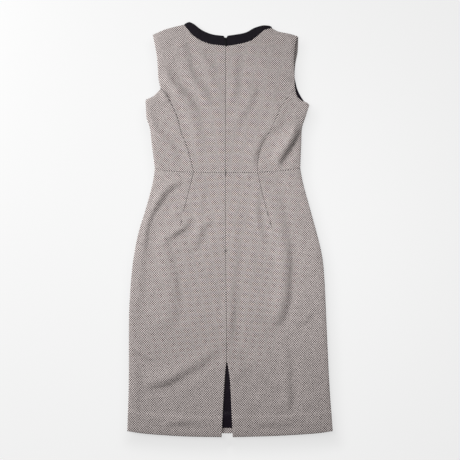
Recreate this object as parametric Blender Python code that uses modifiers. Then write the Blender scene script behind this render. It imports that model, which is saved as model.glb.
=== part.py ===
"""A sleeveless, fitted shift dress that lies flat on its front, back uppermost.

X runs to the right across the dress, +Y towards the neck and +Z up. The origin is on the surface that the
dress lies on, under the middle of its outline. Every panel is cut flat between its seam lines, given its
wall, and then laid: the front stays flat on the surface, and the back rests over it in folds.
Left and right are as seen from above, which are also the wearer's.
"""
from collections import namedtuple
from math import cos, pi, sin

import bmesh
import bpy
import numpy as np

MM = 0.001

# ---- Driving dimensions, in millimetres ------------------------------------------------------------
CLOTH = 1.2              # one thickness of the suiting
BAND_RISE = 0.5          # how far the back neckband stands proud of the bodice
LINING = 1.0
FACING = 0.8             # the right armhole's facing
TAPE = 0.8               # the zip's woven tape
SEAM_GAP = 0.4           # between two panels at a seam
LAYER_GAP = 0.3          # between two layers that lie on each other
LOFT = 3.0               # how far the back's inside stands off the front, away from the edges
DEEPEST = 1.8            # how far a fold's trough may come down from there
EDGE_ROLL = 24.0         # the width over which the back comes down to a side seam
HEM_TURN = 48.0          # height of the turned-up hem
HEM_STEP = 6.0           # the width over which the turned-up hem's thickness starts
FRONT_NECK_DROP = 30.0   # how far the front neckline lies below the back's
FRONT_SCOOP = 5.0        # how far the front's left armhole is cut inside the back's
FACING_WIDTH = 12.0
LINING_HEM = -500.2      # the lining's lower edge
LINING_UNDER = 26.0      # how far the lining runs on under the vent's edges

CENTRE = -11.0           # the centre back seam's x
NECK_SEAM = 458.6        # where the neckband meets the centre back
VENT_TOP = -340.5
ZIP_END = -70.0          # the concealed zip's lower end
TAPE_WIDTH = 25.0
TAPE_TAIL = 8.0          # of the tape, past the zip's end

HINGE_Y = 478.5          # the pull tab's crossbar
BAR = 1.0                # its thickness, and the tab's
PULL_LENGTH = 22.5
PULL_WIDTH = 4.4
EYE_WIDTH = 2.4
EYE_LENGTH = 4.4
BAIL_RADIUS = 1.4        # of the bail's centre line, round the crossbar
BAIL_WIRE = 0.4
SLIDER_SIZE = (6.4, 11.0, 2.2)
SLIDER_Y = 475.4
SLIDER_ROUNDING = 0.7

# ---- Grid counts -------------------------------------------------------------------------------------
PRINCESS_STEPS = 17
ARMHOLE_STEPS = 10
SHOULDER_STEPS = 3
NECK_STEPS = 11
SIDE_STEPS = 7
BAND_STEPS = 3
SKIRT_ROWS = 40
SKIRT_COLUMNS = 16
TAPE_ROWS = 24
SLIT_STEPS = 8
ROUND_STEPS = 8
WELD = 1e-7

# ---- Seam lines, in millimetres ----------------------------------------------------------------------
SideRow = namedtuple("SideRow", "height left right")
Stitch = namedtuple("Stitch", "x y")

SIDE_SEAMS = [SideRow(-508, -248.7, 248.9),
              SideRow(-397, -247.2, 242.7),
              SideRow(-300, -248.4, 239.4),
              SideRow(-222, -248.9, 237.0),
              SideRow(-143, -245.5, 234.4),
              SideRow(-83, -239.4, 229.4),
              SideRow(-23, -228.4, 216.2),
              SideRow(37, -210.9, 200.6),
              SideRow(98, -195.6, 184.7),
              SideRow(139, -189.4, 177.2)]
FLANKS = [SideRow(139, -189.4, 177.2),
          SideRow(200, -198.0, 180.3),
          SideRow(243, -203.4, 182.8),
          SideRow(270, -212.2, 191.4),
          SideRow(303, -214.6, 201.9)]
PRINCESS_SEAMS = [SideRow(128.5, -91.5, 69.6),
                  SideRow(165, -100.2, 71.8),
                  SideRow(200, -110.5, 80.8),
                  SideRow(230, -122.6, 98.6),
                  SideRow(270, -133.4, 118.0),
                  SideRow(300, -146.4, 132.0),
                  SideRow(330, -161.6, 152.6),
                  SideRow(346, -177.5, 166.4)]
CENTRE_SKIRT = [Stitch(-8, VENT_TOP), Stitch(-9.2, -191), Stitch(-10.7, ZIP_END), Stitch(CENTRE, 127)]

# The lines of one half of the back. Those that run across start at the outer edge, and the others run up.
Half = namedtuple("Half", "name shoulder neck band_end band_top band_close armhole underarm waist_side "
                          "waist_middle dart hem vent")
LEFT = Half(
    name="left",
    shoulder=[Stitch(-199.2, 489), Stitch(-186.4, 495), Stitch(-162, 505.4), Stitch(-118.2, 516.8)],
    neck=[Stitch(-118.2, 516.8), Stitch(-94, 485.4), Stitch(-57, 465.6), Stitch(CENTRE, NECK_SEAM)],
    band_end=[Stitch(-118.2, 516.8), Stitch(-111, 520.6), Stitch(-104, 522.3)],
    band_top=[Stitch(-104, 522.3), Stitch(-92, 516.2), Stitch(-72, 500.6), Stitch(-46, 489.6),
              Stitch(-16, 485)],
    band_close=[Stitch(CENTRE, NECK_SEAM), Stitch(CENTRE - 0.3, 466), Stitch(CENTRE - 1.4, 478.4),
                Stitch(-16, 485)],
    armhole=[Stitch(-177.5, 346), Stitch(-183.4, 375), Stitch(-185.8, 412), Stitch(-190.2, 446),
             Stitch(-199.2, 489)],
    underarm=[Stitch(-214.6, 303), Stitch(-213.8, 317), Stitch(-197, 325.6), Stitch(-185, 337.4),
              Stitch(-177.5, 346)],
    waist_side=[Stitch(-189.4, 139), Stitch(-150, 131.4), Stitch(-91.5, 128.5)],
    waist_middle=[Stitch(-91.5, 128.5), Stitch(CENTRE, 127)],
    dart=[Stitch(-124, -8), Stitch(-113.4, 40), Stitch(-91.5, 128.5)],
    hem=[Stitch(-248.7, -508), Stitch(-202, -514.6), Stitch(-110, -520.6), Stitch(-20.1, -522.3)],
    vent=[Stitch(-20.1, -522.3), Stitch(-17.3, -465), Stitch(-13.2, -391), Stitch(-10.4, -357),
          Stitch(-8, VENT_TOP)])
RIGHT = Half(
    name="right",
    shoulder=[Stitch(173.4, 485), Stitch(155, 491.6), Stitch(124, 498), Stitch(108.4, 507)],
    neck=[Stitch(108.4, 507), Stitch(86, 499), Stitch(54.6, 473), Stitch(11.8, 461.2),
          Stitch(CENTRE, NECK_SEAM)],
    band_end=[Stitch(108.4, 507), Stitch(106.4, 510.4), Stitch(100, 512.6)],
    band_top=[Stitch(100, 512.6), Stitch(84, 512.8), Stitch(62, 506.2), Stitch(38, 493.6), Stitch(-6.6, 485.2)],
    band_close=[Stitch(CENTRE, NECK_SEAM), Stitch(CENTRE + 0.3, 466), Stitch(CENTRE + 1.4, 478.4),
                Stitch(-6.6, 485.2)],
    armhole=[Stitch(166.4, 346), Stitch(165.0, 380), Stitch(164.8, 421), Stitch(167.7, 458),
             Stitch(173.4, 485)],
    underarm=[Stitch(201.9, 303), Stitch(195.5, 309.6), Stitch(183.2, 314.8), Stitch(171.4, 325.6),
              Stitch(166.4, 346)],
    waist_side=[Stitch(177.2, 139), Stitch(126, 132.4), Stitch(69.6, 128.5)],
    waist_middle=[Stitch(69.6, 128.5), Stitch(CENTRE, 127)],
    dart=[Stitch(104, -10), Stitch(87, 52), Stitch(69.6, 128.5)],
    hem=[Stitch(248.9, -508), Stitch(205, -513.8), Stitch(110, -519.6), Stitch(6.6, -522.3)],
    vent=[Stitch(6.6, -522.3), Stitch(3.9, -465), Stitch(0.2, -391), Stitch(-4.2, -357),
          Stitch(-8, VENT_TOP)])

# The front's own lines. Its neckline, shoulders, waist and side seams follow the back's.
FRONT_ARMHOLE_RIGHT = [Stitch(201.9, 303), Stitch(187.4, 315.8), Stitch(173.0, 342.4), Stitch(165.8, 374),
                       Stitch(167.2, 409), Stitch(173.8, 445), Stitch(175.6, 484)]
FACED_STITCHES = 4       # of them run along the facing
FRONT_HEM = [Stitch(-248.7, -508), Stitch(-130, -512.4), Stitch(0, -513.3), Stitch(130, -512.4),
             Stitch(248.9, -508)]

# Folds of the back. Each path runs so that its high side, which faces the left shoulder, is on its left. The
# cloth stands `slope` steep on the path and rounds away over the two widths. Millimetres.
Fold = namedtuple("Fold", "name slope high_side low_side path")
FOLDS = [Fold("waist tuck, right", 0.60, 26, 13, [(133, 161), (152, 197), (175, 229)]),
         Fold("hip sweep, left", 0.48, 22, 17, [(-200, -4), (-173, 51), (-151, 78), (-120, 100)]),
         Fold("thigh, left", 0.26, 44, 22, [(-128, -223), (-129, -117), (-143, -50), (-132, -22)]),
         Fold("side, left", 0.20, 15, 20, [(-228, -199), (-220, -85), (-200, -4)]),
         Fold("dart end, left", 0.30, 18, 16, [(-134, -32), (-115, -16), (-96, 0)]),
         Fold("seat crescent, left", 0.20, 22, 20, [(-95, -75), (-70, -47), (-42, 1)]),
         Fold("thigh, right", 0.46, 32, 16, [(127, -248), (143, -199), (153, -125), (150, -40), (132, 10)]),
         Fold("knee, right", 0.18, 24, 18, [(146, -453), (147, -302)]),
         Fold("knee drag, left", 0.46, 24, 18, [(-195, -403), (-154, -394), (-105, -369), (-37, -326)]),
         Fold("knee drag, right", 0.18, 22, 20, [(42, -355), (68, -374), (110, -406), (139, -422)]),
         Fold("seat, by the seam", 0.18, 16, 20, [(2, -306), (12, -282), (10, -200), (17, -100), (8, -9)]),
         Fold("shoulder blade, left", 0.28, 26, 18, [(-46, 312), (-74, 364), (-90, 391), (-113, 460)]),
         Fold("back hollow, left", 0.24, 26, 22, [(-63, 197), (-70, 245), (-87, 291), (-102, 338)]),
         Fold("armhole drag, left", 0.28, 18, 16, [(-125, 346), (-156, 398)]),
         Fold("side panel, left", 0.14, 26, 22, [(-137, 174), (-173, 234), (-193, 280)]),
         Fold("back hollow, right", 0.18, 18, 18, [(25, 262), (43, 299), (64, 338)]),
         Fold("seam hollow, right", 0.22, 20, 12, [(64, 156), (74, 187), (93, 228)]),
         Fold("underarm drag, right", 0.20, 20, 16, [(84, 374), (120, 366), (158, 356)])]
FOLD_END = 0.22          # share of a fold's length over which each end fades out

# ---- Looks -------------------------------------------------------------------------------------------
Look = namedtuple("Look", "name colour roughness metallic")
SUITING = Look("suiting", (0.38, 0.34, 0.33, 1.0), 0.85, 0.0)
BLACK_CLOTH = Look("black_cloth", (0.014, 0.012, 0.016, 1.0), 0.8, 0.0)
BLACK_LINING = Look("black_lining", (0.012, 0.010, 0.013, 1.0), 0.5, 0.0)
BLACK_METAL = Look("black_metal", (0.02, 0.02, 0.02, 1.0), 0.4, 0.6)


def finish(item, look):
    """Give an object its own Principled material."""
    material = bpy.data.materials.new(f"{item.name}_{look.name}")
    material.use_nodes = True
    shader = material.node_tree.nodes["Principled BSDF"]
    shader.inputs["Base Color"].default_value = look.colour
    shader.inputs["Roughness"].default_value = look.roughness
    shader.inputs["Metallic"].default_value = look.metallic
    material.diffuse_color = look.colour
    item.data.materials.clear()
    item.data.materials.append(material)


def clear_scene():
    """Remove every object that the file opened with."""
    for item in list(bpy.data.objects):
        bpy.data.objects.remove(item, do_unlink=True)


def new_collection(name):
    group = bpy.data.collections.new(name)
    bpy.context.scene.collection.children.link(group)
    return group


# ---- Lines -------------------------------------------------------------------------------------------
def left_of(rows):
    return [Stitch(row.left, row.height) for row in rows]


def right_of(rows):
    return [Stitch(row.right, row.height) for row in rows]


def side_of(half, rows):
    """The half's own column of a table of side rows."""
    return left_of(rows) if half is LEFT else right_of(rows)


def through(stitches, steps=12):
    """A smooth line through the stitches (Catmull-Rom), as an array of x and y."""
    ends = np.array(stitches, dtype=float)
    if len(ends) == 2:
        return ends
    ends = np.vstack([2 * ends[0] - ends[1], ends, 2 * ends[-1] - ends[-2]])
    line = [ends[1]]
    for a, b, c, d in zip(ends, ends[1:], ends[2:], ends[3:]):
        for t in np.linspace(0, 1, steps + 1)[1:]:
            line.append(0.5 * (2 * b + (c - a) * t + (2 * a - 5 * b + 4 * c - d) * t ** 2
                               + (3 * b - a - 3 * c + d) * t ** 3))
    return np.array(line)


def length_along(line):
    """How far along the line each of its points is."""
    return np.concatenate([[0], np.cumsum(np.hypot(*np.diff(line, axis=0).T))])


def placed(line, distances):
    """The points at given distances along a line."""
    run = length_along(line)
    return np.column_stack([np.interp(distances, run, line[:, axis]) for axis in (0, 1)])


def spaced(line, count):
    """The line as `count` steps of equal length."""
    return placed(line, length_along(line)[-1] * np.linspace(0, 1, count + 1))


def sewn(stitches, count):
    """A smooth line through the stitches, as `count` steps of equal length."""
    return spaced(through(stitches), count)


def hemmed(line, count):
    """A line that runs up from a hem, as `count` steps: two in the turned-up hem and one across its step."""
    return placed(line, np.concatenate([np.linspace(0, HEM_TURN - HEM_STEP / 2, 3),
                                        np.linspace(HEM_TURN + HEM_STEP / 2, length_along(line)[-1],
                                                    count - 2)]))


def joined(*lines):
    """Lines that meet end to end, as one."""
    return np.vstack([lines[0]] + [line[1:] for line in lines[1:]])


def neckline(side="neck"):
    """The back's neckline or band edge, from the left shoulder to the right one."""
    return joined(sewn(getattr(LEFT, side), NECK_STEPS), sewn(getattr(RIGHT, side), NECK_STEPS)[::-1])


def lowered(line):
    """A back neckline dropped to the front's depth, which fades out towards the shoulders."""
    middle = (line[0, 0] + line[-1, 0]) / 2
    reach = np.clip(np.abs(line[:, 0] - middle) / (line[-1, 0] - middle), 0, 1)
    return line - np.column_stack([np.zeros(len(line)), FRONT_NECK_DROP * (1 - reach ** 2)])


def waist():
    """The waist seam from the left side to the right one."""
    return joined(through(LEFT.waist_side), through(LEFT.waist_middle), through(RIGHT.waist_middle)[::-1],
                  through(RIGHT.waist_side)[::-1])


def back_hem():
    return joined(through(LEFT.hem), through(RIGHT.hem)[::-1])


def drawn_in(loop, distance):
    """A closed anticlockwise loop moved inwards, so that a panel clears its neighbours at the seams."""
    before = loop - np.roll(loop, 1, axis=0)
    after = np.roll(loop, -1, axis=0) - loop
    inward = [np.column_stack([-run[:, 1], run[:, 0]]) / np.hypot(*run.T)[:, None] for run in (before, after)]
    turn = 1 + np.sum(inward[0] * inward[1], axis=1)
    return loop + (inward[0] + inward[1]) * (distance / np.maximum(turn, 0.5))[:, None]


# ---- How the back lies -------------------------------------------------------------------------------
def nearest(places, line):
    """Distance from each place to a line, positive on the line's left, and the share of its length there."""
    best = np.full(len(places), np.inf)
    side = np.ones(len(places))
    share = np.zeros(len(places))
    for index, (start, end) in enumerate(zip(line[:-1], line[1:])):
        step = end - start
        away = places - start
        along = np.clip(away @ step / (step @ step), 0, 1)
        rest = away - along[:, None] * step
        distance = np.hypot(rest[:, 0], rest[:, 1])
        closer = distance < best
        best[closer] = distance[closer]
        side[closer] = np.where(step[0] * rest[closer, 1] < step[1] * rest[closer, 0], -1, 1)
        share[closer] = (index + along[closer]) / (len(line) - 1)
    return best * side, share


def soft_step(value):
    """0 below 0, 1 above 1, and a soft rise between."""
    value = np.clip(value, 0, 1)
    return value * value * (3 - 2 * value)


def turned_up(places, hem):
    """1 in a turned-up hem and 0 above it."""
    above_hem = places[:, 1] - np.interp(places[:, 0], hem[:, 0], hem[:, 1])
    return soft_step((HEM_TURN - above_hem) / HEM_STEP + 0.5)


def closed_edge(half):
    """The half's edge that comes down to the front: hem, side, armhole and shoulder."""
    return spaced(joined(through(half.hem)[::-1], through(side_of(half, SIDE_SEAMS)),
                         through(side_of(half, FLANKS)), through(half.underarm), through(half.armhole),
                         through(half.shoulder)), 110)


def facing_lift(places):
    """How much the right armhole's facing lifts the back that lies on it."""
    away = np.abs(nearest(places, sewn(FRONT_ARMHOLE_RIGHT[:FACED_STITCHES], ROUND_STEPS))[0])
    return (FACING + LAYER_GAP) * soft_step((FACING_WIDTH + EDGE_ROLL - away) / EDGE_ROLL)


def fold_height(places, fold):
    """Height of one fold: steepest on its path, a crest on the high side and a trough on the other."""
    away, share = nearest(places, sewn(fold.path, 14))
    width = np.where(away > 0, fold.high_side, fold.low_side)
    ends = soft_step(share / FOLD_END) * soft_step((1 - share) / FOLD_END)
    return ends * fold.slope * away * np.exp(-(away / width) ** 2)


def outer_face(places):
    """Height of the back's outer face over the surface, at each x and y, in millimetres."""
    edge = np.min([np.abs(nearest(places, closed_edge(half))[0]) for half in (LEFT, RIGHT)], axis=0)
    edge = np.clip((edge - SEAM_GAP) / EDGE_ROLL, 0, 1)
    roll = np.sqrt(1 - (1 - edge) ** 2.5)
    height = CLOTH + LAYER_GAP + CLOTH + LOFT * roll + facing_lift(places) * (1 - roll)
    height = height + turned_up(places, back_hem()) * CLOTH * (2 - roll)
    folds = sum(fold_height(places, fold) for fold in FOLDS)
    folds = np.where(folds < 0, -DEEPEST * np.tanh(-folds / DEEPEST), folds)
    return height + folds * soft_step(edge)


def band_face(places):
    return outer_face(places) + BAND_RISE


def one_ply(places):
    return np.full(len(places), CLOTH)


def band_wall(places):
    return one_ply(places) + BAND_RISE


def back_hem_wall(places):
    """Wall of a back skirt panel: double where the hem is turned up."""
    return CLOTH * (1 + turned_up(places, back_hem()))


def front_hem_wall(places):
    """Wall of the front skirt: double where the hem is turned up."""
    return CLOTH * (1 + turned_up(places, through(FRONT_HEM)))


# ---- Solids ------------------------------------------------------------------------------------------
def flat_patch(name, bottom, right, top, left, wall):
    """A flat panel between four seam lines, with a plain wall from Solidify.

    bottom and top run left to right, left and right run upwards, and facing sides have equal counts.
    """
    across = len(bottom) - 1
    up = len(left) - 1
    loop = drawn_in(np.vstack([bottom[:-1], right[:-1], top[:0:-1], left[:0:-1]]), SEAM_GAP / 2)
    bottom = loop[:across + 1]
    right = loop[across:across + up + 1]
    top = loop[across + up:2 * across + up + 1][::-1]
    left = np.vstack([loop[2 * across + up:], loop[:1]])[::-1]
    mesh = bmesh.new()
    bmesh.ops.create_grid(mesh, x_segments=across, y_segments=up, size=0.5)
    for vert in mesh.verts:
        column = round((vert.co.x + 0.5) * across)
        row = round((vert.co.y + 0.5) * up)
        u = column / across
        v = row / up
        place = ((1 - v) * bottom[column] + v * top[column] + (1 - u) * left[row] + u * right[row]
                 - (1 - u) * (1 - v) * bottom[0] - u * (1 - v) * bottom[-1]
                 - (1 - u) * v * top[0] - u * v * top[-1])
        vert.co = (place[0], place[1], 0)
    data = bpy.data.meshes.new(name)
    mesh.to_mesh(data)
    mesh.free()
    item = bpy.data.objects.new(name, data)
    dress.objects.link(item)
    thicken = item.modifiers.new("wall", "SOLIDIFY")
    thicken.thickness = wall
    thicken.offset = 1
    return item


def flat_cut(name, wall, *loops):
    """A flat solid with the outline of the first loop and holes of the rest, in the loops' units."""
    curve = bpy.data.curves.new(name, "CURVE")
    curve.dimensions = "2D"
    curve.fill_mode = "BOTH"
    curve.extrude = wall / 2
    for loop in loops:
        spline = curve.splines.new("POLY")
        spline.points.add(len(loop) - 1)
        for point, place in zip(spline.points, loop):
            point.co = (place[0], place[1], 0, 1)
        spline.use_cyclic_u = True
    item = bpy.data.objects.new(name, curve)
    dress.objects.link(item)
    return item


def applied(item):
    """The object as a plain mesh, with its modifiers or curve made real and its caps welded."""
    bpy.context.view_layer.update()
    shape = item.evaluated_get(bpy.context.evaluated_depsgraph_get())
    data = bpy.data.meshes.new_from_object(shape)
    mesh = bmesh.new()
    mesh.from_mesh(data)
    bmesh.ops.remove_doubles(mesh, verts=mesh.verts, dist=WELD)
    mesh.to_mesh(data)
    mesh.free()
    name = item.name
    place = item.matrix_world.copy()
    group = item.users_collection[0]
    bpy.data.objects.remove(item, do_unlink=True)
    solid = bpy.data.objects.new(name, data)
    solid.matrix_world = place
    group.objects.link(solid)
    return solid


def made_cutter(item):
    """Put a mesh that only shapes others with the cutters, out of sight."""
    dress.objects.unlink(item)
    cutters.objects.link(item)
    item.hide_render = True
    item.display_type = "WIRE"
    return item


def seam_slit(name, stitches):
    """A thin upright cutter along a seam that ends inside a panel, and past the panel's edge at its top."""
    line = sewn(stitches, SLIT_STEPS)
    line[-1] += line[-1] - line[-2]
    run = np.gradient(line, axis=0)
    across = np.column_stack([-run[:, 1], run[:, 0]]) / np.hypot(*run.T)[:, None] * SEAM_GAP / 2
    return made_cutter(applied(flat_cut(name, 4 * CLOTH, np.vstack([line - across, (line + across)[::-1]]))))


def laid(item, lower, upper, look):
    """Lay a flat solid: lower and upper give the heights of its two faces at each x and y."""
    item = applied(item)
    verts = item.data.vertices
    places = np.array([vert.co[:2] for vert in verts])
    levels = np.array([vert.co.z for vert in verts])
    heights = np.where(levels > levels.mean(), upper(places), lower(places))
    for vert, height in zip(verts, heights):
        vert.co = (vert.co.x * MM, vert.co.y * MM, height * MM)
    item.data.shade_smooth()
    item.data.set_sharp_from_angle(angle=pi / 4)
    finish(item, look)


def back_panel(name, half, outer, inner, low, high, face=outer_face, wall=one_ply, look=SUITING, dart=None):
    """A panel of one half of the back, hung under its outer face, with the seam of its dart if it has one.

    outer and inner run up, and low and high run from outer to inner.
    """
    sides = (low, inner, high, outer) if half is LEFT else (low[::-1], outer, high[::-1], inner)
    item = flat_patch(f"back_{name}_{half.name}", *sides, CLOTH)
    if dart:
        seam = item.modifiers.new("dart", "BOOLEAN")
        seam.operation = "DIFFERENCE"
        seam.object = seam_slit(f"dart_{half.name}", dart)
    laid(item, lambda places: face(places) - wall(places), face, look)


def front_panel(name, bottom, right, top, left, wall, look=SUITING):
    """A panel of the front, flat on the surface."""
    laid(flat_patch(name, bottom, right, top, left, CLOTH), lambda places: 0, wall, look)


# ---- The dress ---------------------------------------------------------------------------------------
def make_back_bodice(half):
    """The centre and side panels, which meet at the princess seam."""
    princess = sewn(side_of(half, PRINCESS_SEAMS), PRINCESS_STEPS)
    centre = spaced(np.array([(CENTRE, half.waist_middle[-1].y), (CENTRE, NECK_SEAM)]),
                    PRINCESS_STEPS + ARMHOLE_STEPS)
    back_panel("bodice_centre", half, joined(princess, sewn(half.armhole, ARMHOLE_STEPS)), centre,
               sewn(half.waist_middle, SHOULDER_STEPS + NECK_STEPS),
               joined(sewn(half.shoulder, SHOULDER_STEPS), sewn(half.neck, NECK_STEPS)))
    back_panel("bodice_side", half, sewn(side_of(half, FLANKS), PRINCESS_STEPS), princess,
               sewn(half.waist_side, SIDE_STEPS), sewn(half.underarm, SIDE_STEPS))


def make_back_skirt(half):
    """A skirt panel with its dart, turned-up hem and its edge of the vent."""
    back_panel("skirt", half, hemmed(through(side_of(half, SIDE_SEAMS)), SKIRT_ROWS),
               hemmed(joined(through(half.vent), through(CENTRE_SKIRT)), SKIRT_ROWS),
               sewn(half.hem, SKIRT_COLUMNS),
               spaced(joined(through(half.waist_side), through(half.waist_middle)), SKIRT_COLUMNS),
               wall=back_hem_wall, dart=half.dart)


def make_back_neckband(half):
    """Half of the neckband, proud of the bodice. Its centre edge spreads at the top round the zip's bail."""
    closing = spaced(np.array(half.band_close, dtype=float), BAND_STEPS)
    back_panel("neckband", half, sewn(half.band_end, BAND_STEPS), closing, sewn(half.neck, NECK_STEPS),
               sewn(half.band_top, NECK_STEPS), face=band_face, wall=band_wall, look=BLACK_CLOTH)


def make_front():
    """The front bodice, skirt and neckband, flat on the surface under the back."""
    armhole_left = sewn(LEFT.underarm + LEFT.armhole[1:], PRINCESS_STEPS)
    armhole_left[:, 0] += np.sin(np.linspace(0, pi, len(armhole_left))) * FRONT_SCOOP
    shoulder_right = sewn([FRONT_ARMHOLE_RIGHT[-1]] + RIGHT.shoulder[1:], SHOULDER_STEPS)
    outline = joined(spaced(waist(), SKIRT_COLUMNS), sewn(right_of(FLANKS), PRINCESS_STEPS),
                     sewn(FRONT_ARMHOLE_RIGHT, PRINCESS_STEPS), shoulder_right, lowered(neckline())[::-1],
                     sewn(LEFT.shoulder, SHOULDER_STEPS)[::-1], armhole_left[::-1],
                     sewn(left_of(FLANKS), PRINCESS_STEPS)[::-1])[:-1]
    bodice = flat_cut("front_bodice", CLOTH, drawn_in(outline, SEAM_GAP / 2))
    laid(bodice, lambda places: 0, one_ply, SUITING)
    front_panel("front_skirt", sewn(FRONT_HEM, SKIRT_COLUMNS),
                hemmed(through(right_of(SIDE_SEAMS)), SKIRT_ROWS // 2), spaced(waist(), SKIRT_COLUMNS),
                hemmed(through(left_of(SIDE_SEAMS)), SKIRT_ROWS // 2), front_hem_wall)
    front_panel("front_neckband", lowered(neckline()), sewn(RIGHT.band_end, BAND_STEPS),
                lowered(neckline("band_top")), sewn(LEFT.band_end, BAND_STEPS), one_ply, BLACK_CLOTH)


def make_skirt_lining():
    """The part of the black lining that shows in the vent, over the front skirt and its turned-up hem."""
    fold = FRONT_HEM[2].y + HEM_TURN
    top = VENT_TOP + LINING_UNDER
    heights = [LINING_HEM, fold - HEM_STEP / 2, fold + HEM_STEP / 2, (fold + top) / 2, top]
    left = np.column_stack([np.interp(heights, [LINING_HEM, top],
                                      [LEFT.vent[1].x - LINING_UNDER, CENTRE - LINING_UNDER]), heights])
    right = np.column_stack([np.interp(heights, [LINING_HEM, top],
                                       [RIGHT.vent[1].x + LINING_UNDER, CENTRE + LINING_UNDER]), heights])
    sheet = flat_patch("skirt_lining", spaced(np.array([left[0], right[0]]), 4), right,
                       spaced(np.array([left[-1], right[-1]]), 4), left, LINING)
    laid(sheet, lambda places: front_hem_wall(places) + LAYER_GAP,
         lambda places: front_hem_wall(places) + LAYER_GAP + LINING, BLACK_LINING)


def make_armhole_facing():
    """The black facing that shows inside the right armhole, on the front."""
    outer = sewn(FRONT_ARMHOLE_RIGHT[:FACED_STITCHES], SIDE_STEPS)
    loop = np.vstack([outer, outer[::-1] - np.array([FACING_WIDTH, 0])])
    facing = flat_cut("armhole_lining_right", FACING, drawn_in(loop, SEAM_GAP))
    laid(facing, lambda places: CLOTH + LAYER_GAP, lambda places: CLOTH + LAYER_GAP + FACING, BLACK_LINING)


def tape_face(places):
    """The zip tape's upper face, close under the back."""
    return outer_face(places) - CLOTH - LAYER_GAP


def make_zip_tape():
    """The concealed zip's tape, under the centre seam from the slider to its tail."""
    left = CENTRE - TAPE_WIDTH / 2
    right = CENTRE + TAPE_WIDTH / 2
    low = ZIP_END - TAPE_TAIL
    high = SLIDER_Y - SLIDER_SIZE[1] / 2
    tape = flat_patch("zip_tape", spaced(np.array([(left, low), (right, low)]), 2),
                      spaced(np.array([(right, low), (right, high)]), TAPE_ROWS),
                      spaced(np.array([(left, high), (right, high)]), 2),
                      spaced(np.array([(left, low), (left, high)]), TAPE_ROWS), TAPE)
    laid(tape, lambda places: tape_face(places) - TAPE, tape_face, BLACK_CLOTH)


def make_bail(hinge_height, foot):
    """The wire arch over the pull tab's crossbar, to be joined to the slider."""
    arch = [(HINGE_Y - BAIL_RADIUS * cos(angle), hinge_height + BAIL_RADIUS * sin(angle))
            for angle in np.linspace(0, pi, ROUND_STEPS + 1)]
    route = [(arch[0][0], foot)] + arch + [(arch[-1][0], foot)]
    curve = bpy.data.curves.new("bail", "CURVE")
    curve.dimensions = "3D"
    curve.bevel_depth = BAIL_WIRE * MM
    curve.bevel_resolution = 2
    curve.use_fill_caps = True
    spline = curve.splines.new("POLY")
    spline.points.add(len(route) - 1)
    for point, (y, z) in zip(spline.points, route):
        point.co = (CENTRE * MM, y * MM, z * MM, 1)
    bail = bpy.data.objects.new("bail", curve)
    dress.objects.link(bail)
    return made_cutter(applied(bail))


def make_zip_slider(hinge_height, top):
    """The slider's body under the neckband, with its bail up through the band's opening."""
    body = bmesh.new()
    bmesh.ops.create_cube(body, size=1)
    bmesh.ops.scale(body, vec=[side * MM for side in SLIDER_SIZE], verts=body.verts)
    data = bpy.data.meshes.new("zip_slider")
    body.to_mesh(data)
    body.free()
    slider = bpy.data.objects.new("zip_slider", data)
    slider.location = (CENTRE * MM, SLIDER_Y * MM, (top - SLIDER_SIZE[2] / 2) * MM)
    dress.objects.link(slider)
    rounding = slider.modifiers.new("rounding", "BEVEL")
    rounding.width = SLIDER_ROUNDING * MM
    rounding.segments = 2
    union = slider.modifiers.new("bail", "BOOLEAN")
    union.operation = "UNION"
    union.object = make_bail(hinge_height, top - BAIL_WIRE)
    finish(slider, BLACK_METAL)


def make_zip_pull(hinge_height):
    """The pull tab, with its origin on the crossbar that the bail holds."""
    half_bar = BAR / 2
    half_width = PULL_WIDTH / 2
    half_eye = EYE_WIDTH / 2
    tip = [(half_width * cos(angle), half_width * (sin(angle) + 1) - PULL_LENGTH)
           for angle in np.linspace(0, -pi, ROUND_STEPS + 1)]
    outline = np.array(tip + [(-half_width, half_bar), (half_width, half_bar)])
    eye = np.array([(-half_eye, -half_bar), (-half_eye, -half_bar - EYE_LENGTH),
                    (half_eye, -half_bar - EYE_LENGTH), (half_eye, -half_bar)])
    pull = applied(flat_cut("zip_pull", BAR * MM, outline * MM, eye * MM))
    pull.location = (CENTRE * MM, HINGE_Y * MM, hinge_height * MM)
    finish(pull, BLACK_METAL)


def make_zip():
    """The concealed zip: its tape, its slider at the neck edge, and the pull tab that lies on the band."""
    make_zip_tape()
    face = band_face(np.array([(CENTRE, HINGE_Y)]))[0]
    hinge_height = face + LAYER_GAP + BAR / 2
    make_zip_slider(hinge_height, face - BAND_RISE - CLOTH - LAYER_GAP)
    make_zip_pull(hinge_height)


def main():
    for half in (LEFT, RIGHT):
        make_back_bodice(half)
        make_back_skirt(half)
        make_back_neckband(half)
    make_front()
    make_skirt_lining()
    make_armhole_facing()
    make_zip()


clear_scene()
dress = new_collection("shift_dress")
cutters = new_collection("cutters")
main()
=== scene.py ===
"""Looks of a sleeveless, fitted shift dress that lies flat on its front, back uppermost.

Lengths in the tables are millimetres, and everything that Blender holds is in metres. X runs to the right
across the dress, +Y towards the neck and +Z up. Left and right are as seen from above.
"""

from collections import namedtuple
from math import cos, pi, radians, sin

import bmesh
import bpy
import numpy as np
from bpy.props import FloatProperty, FloatVectorProperty, IntProperty, PointerProperty
from mathutils import Matrix, Vector


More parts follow.
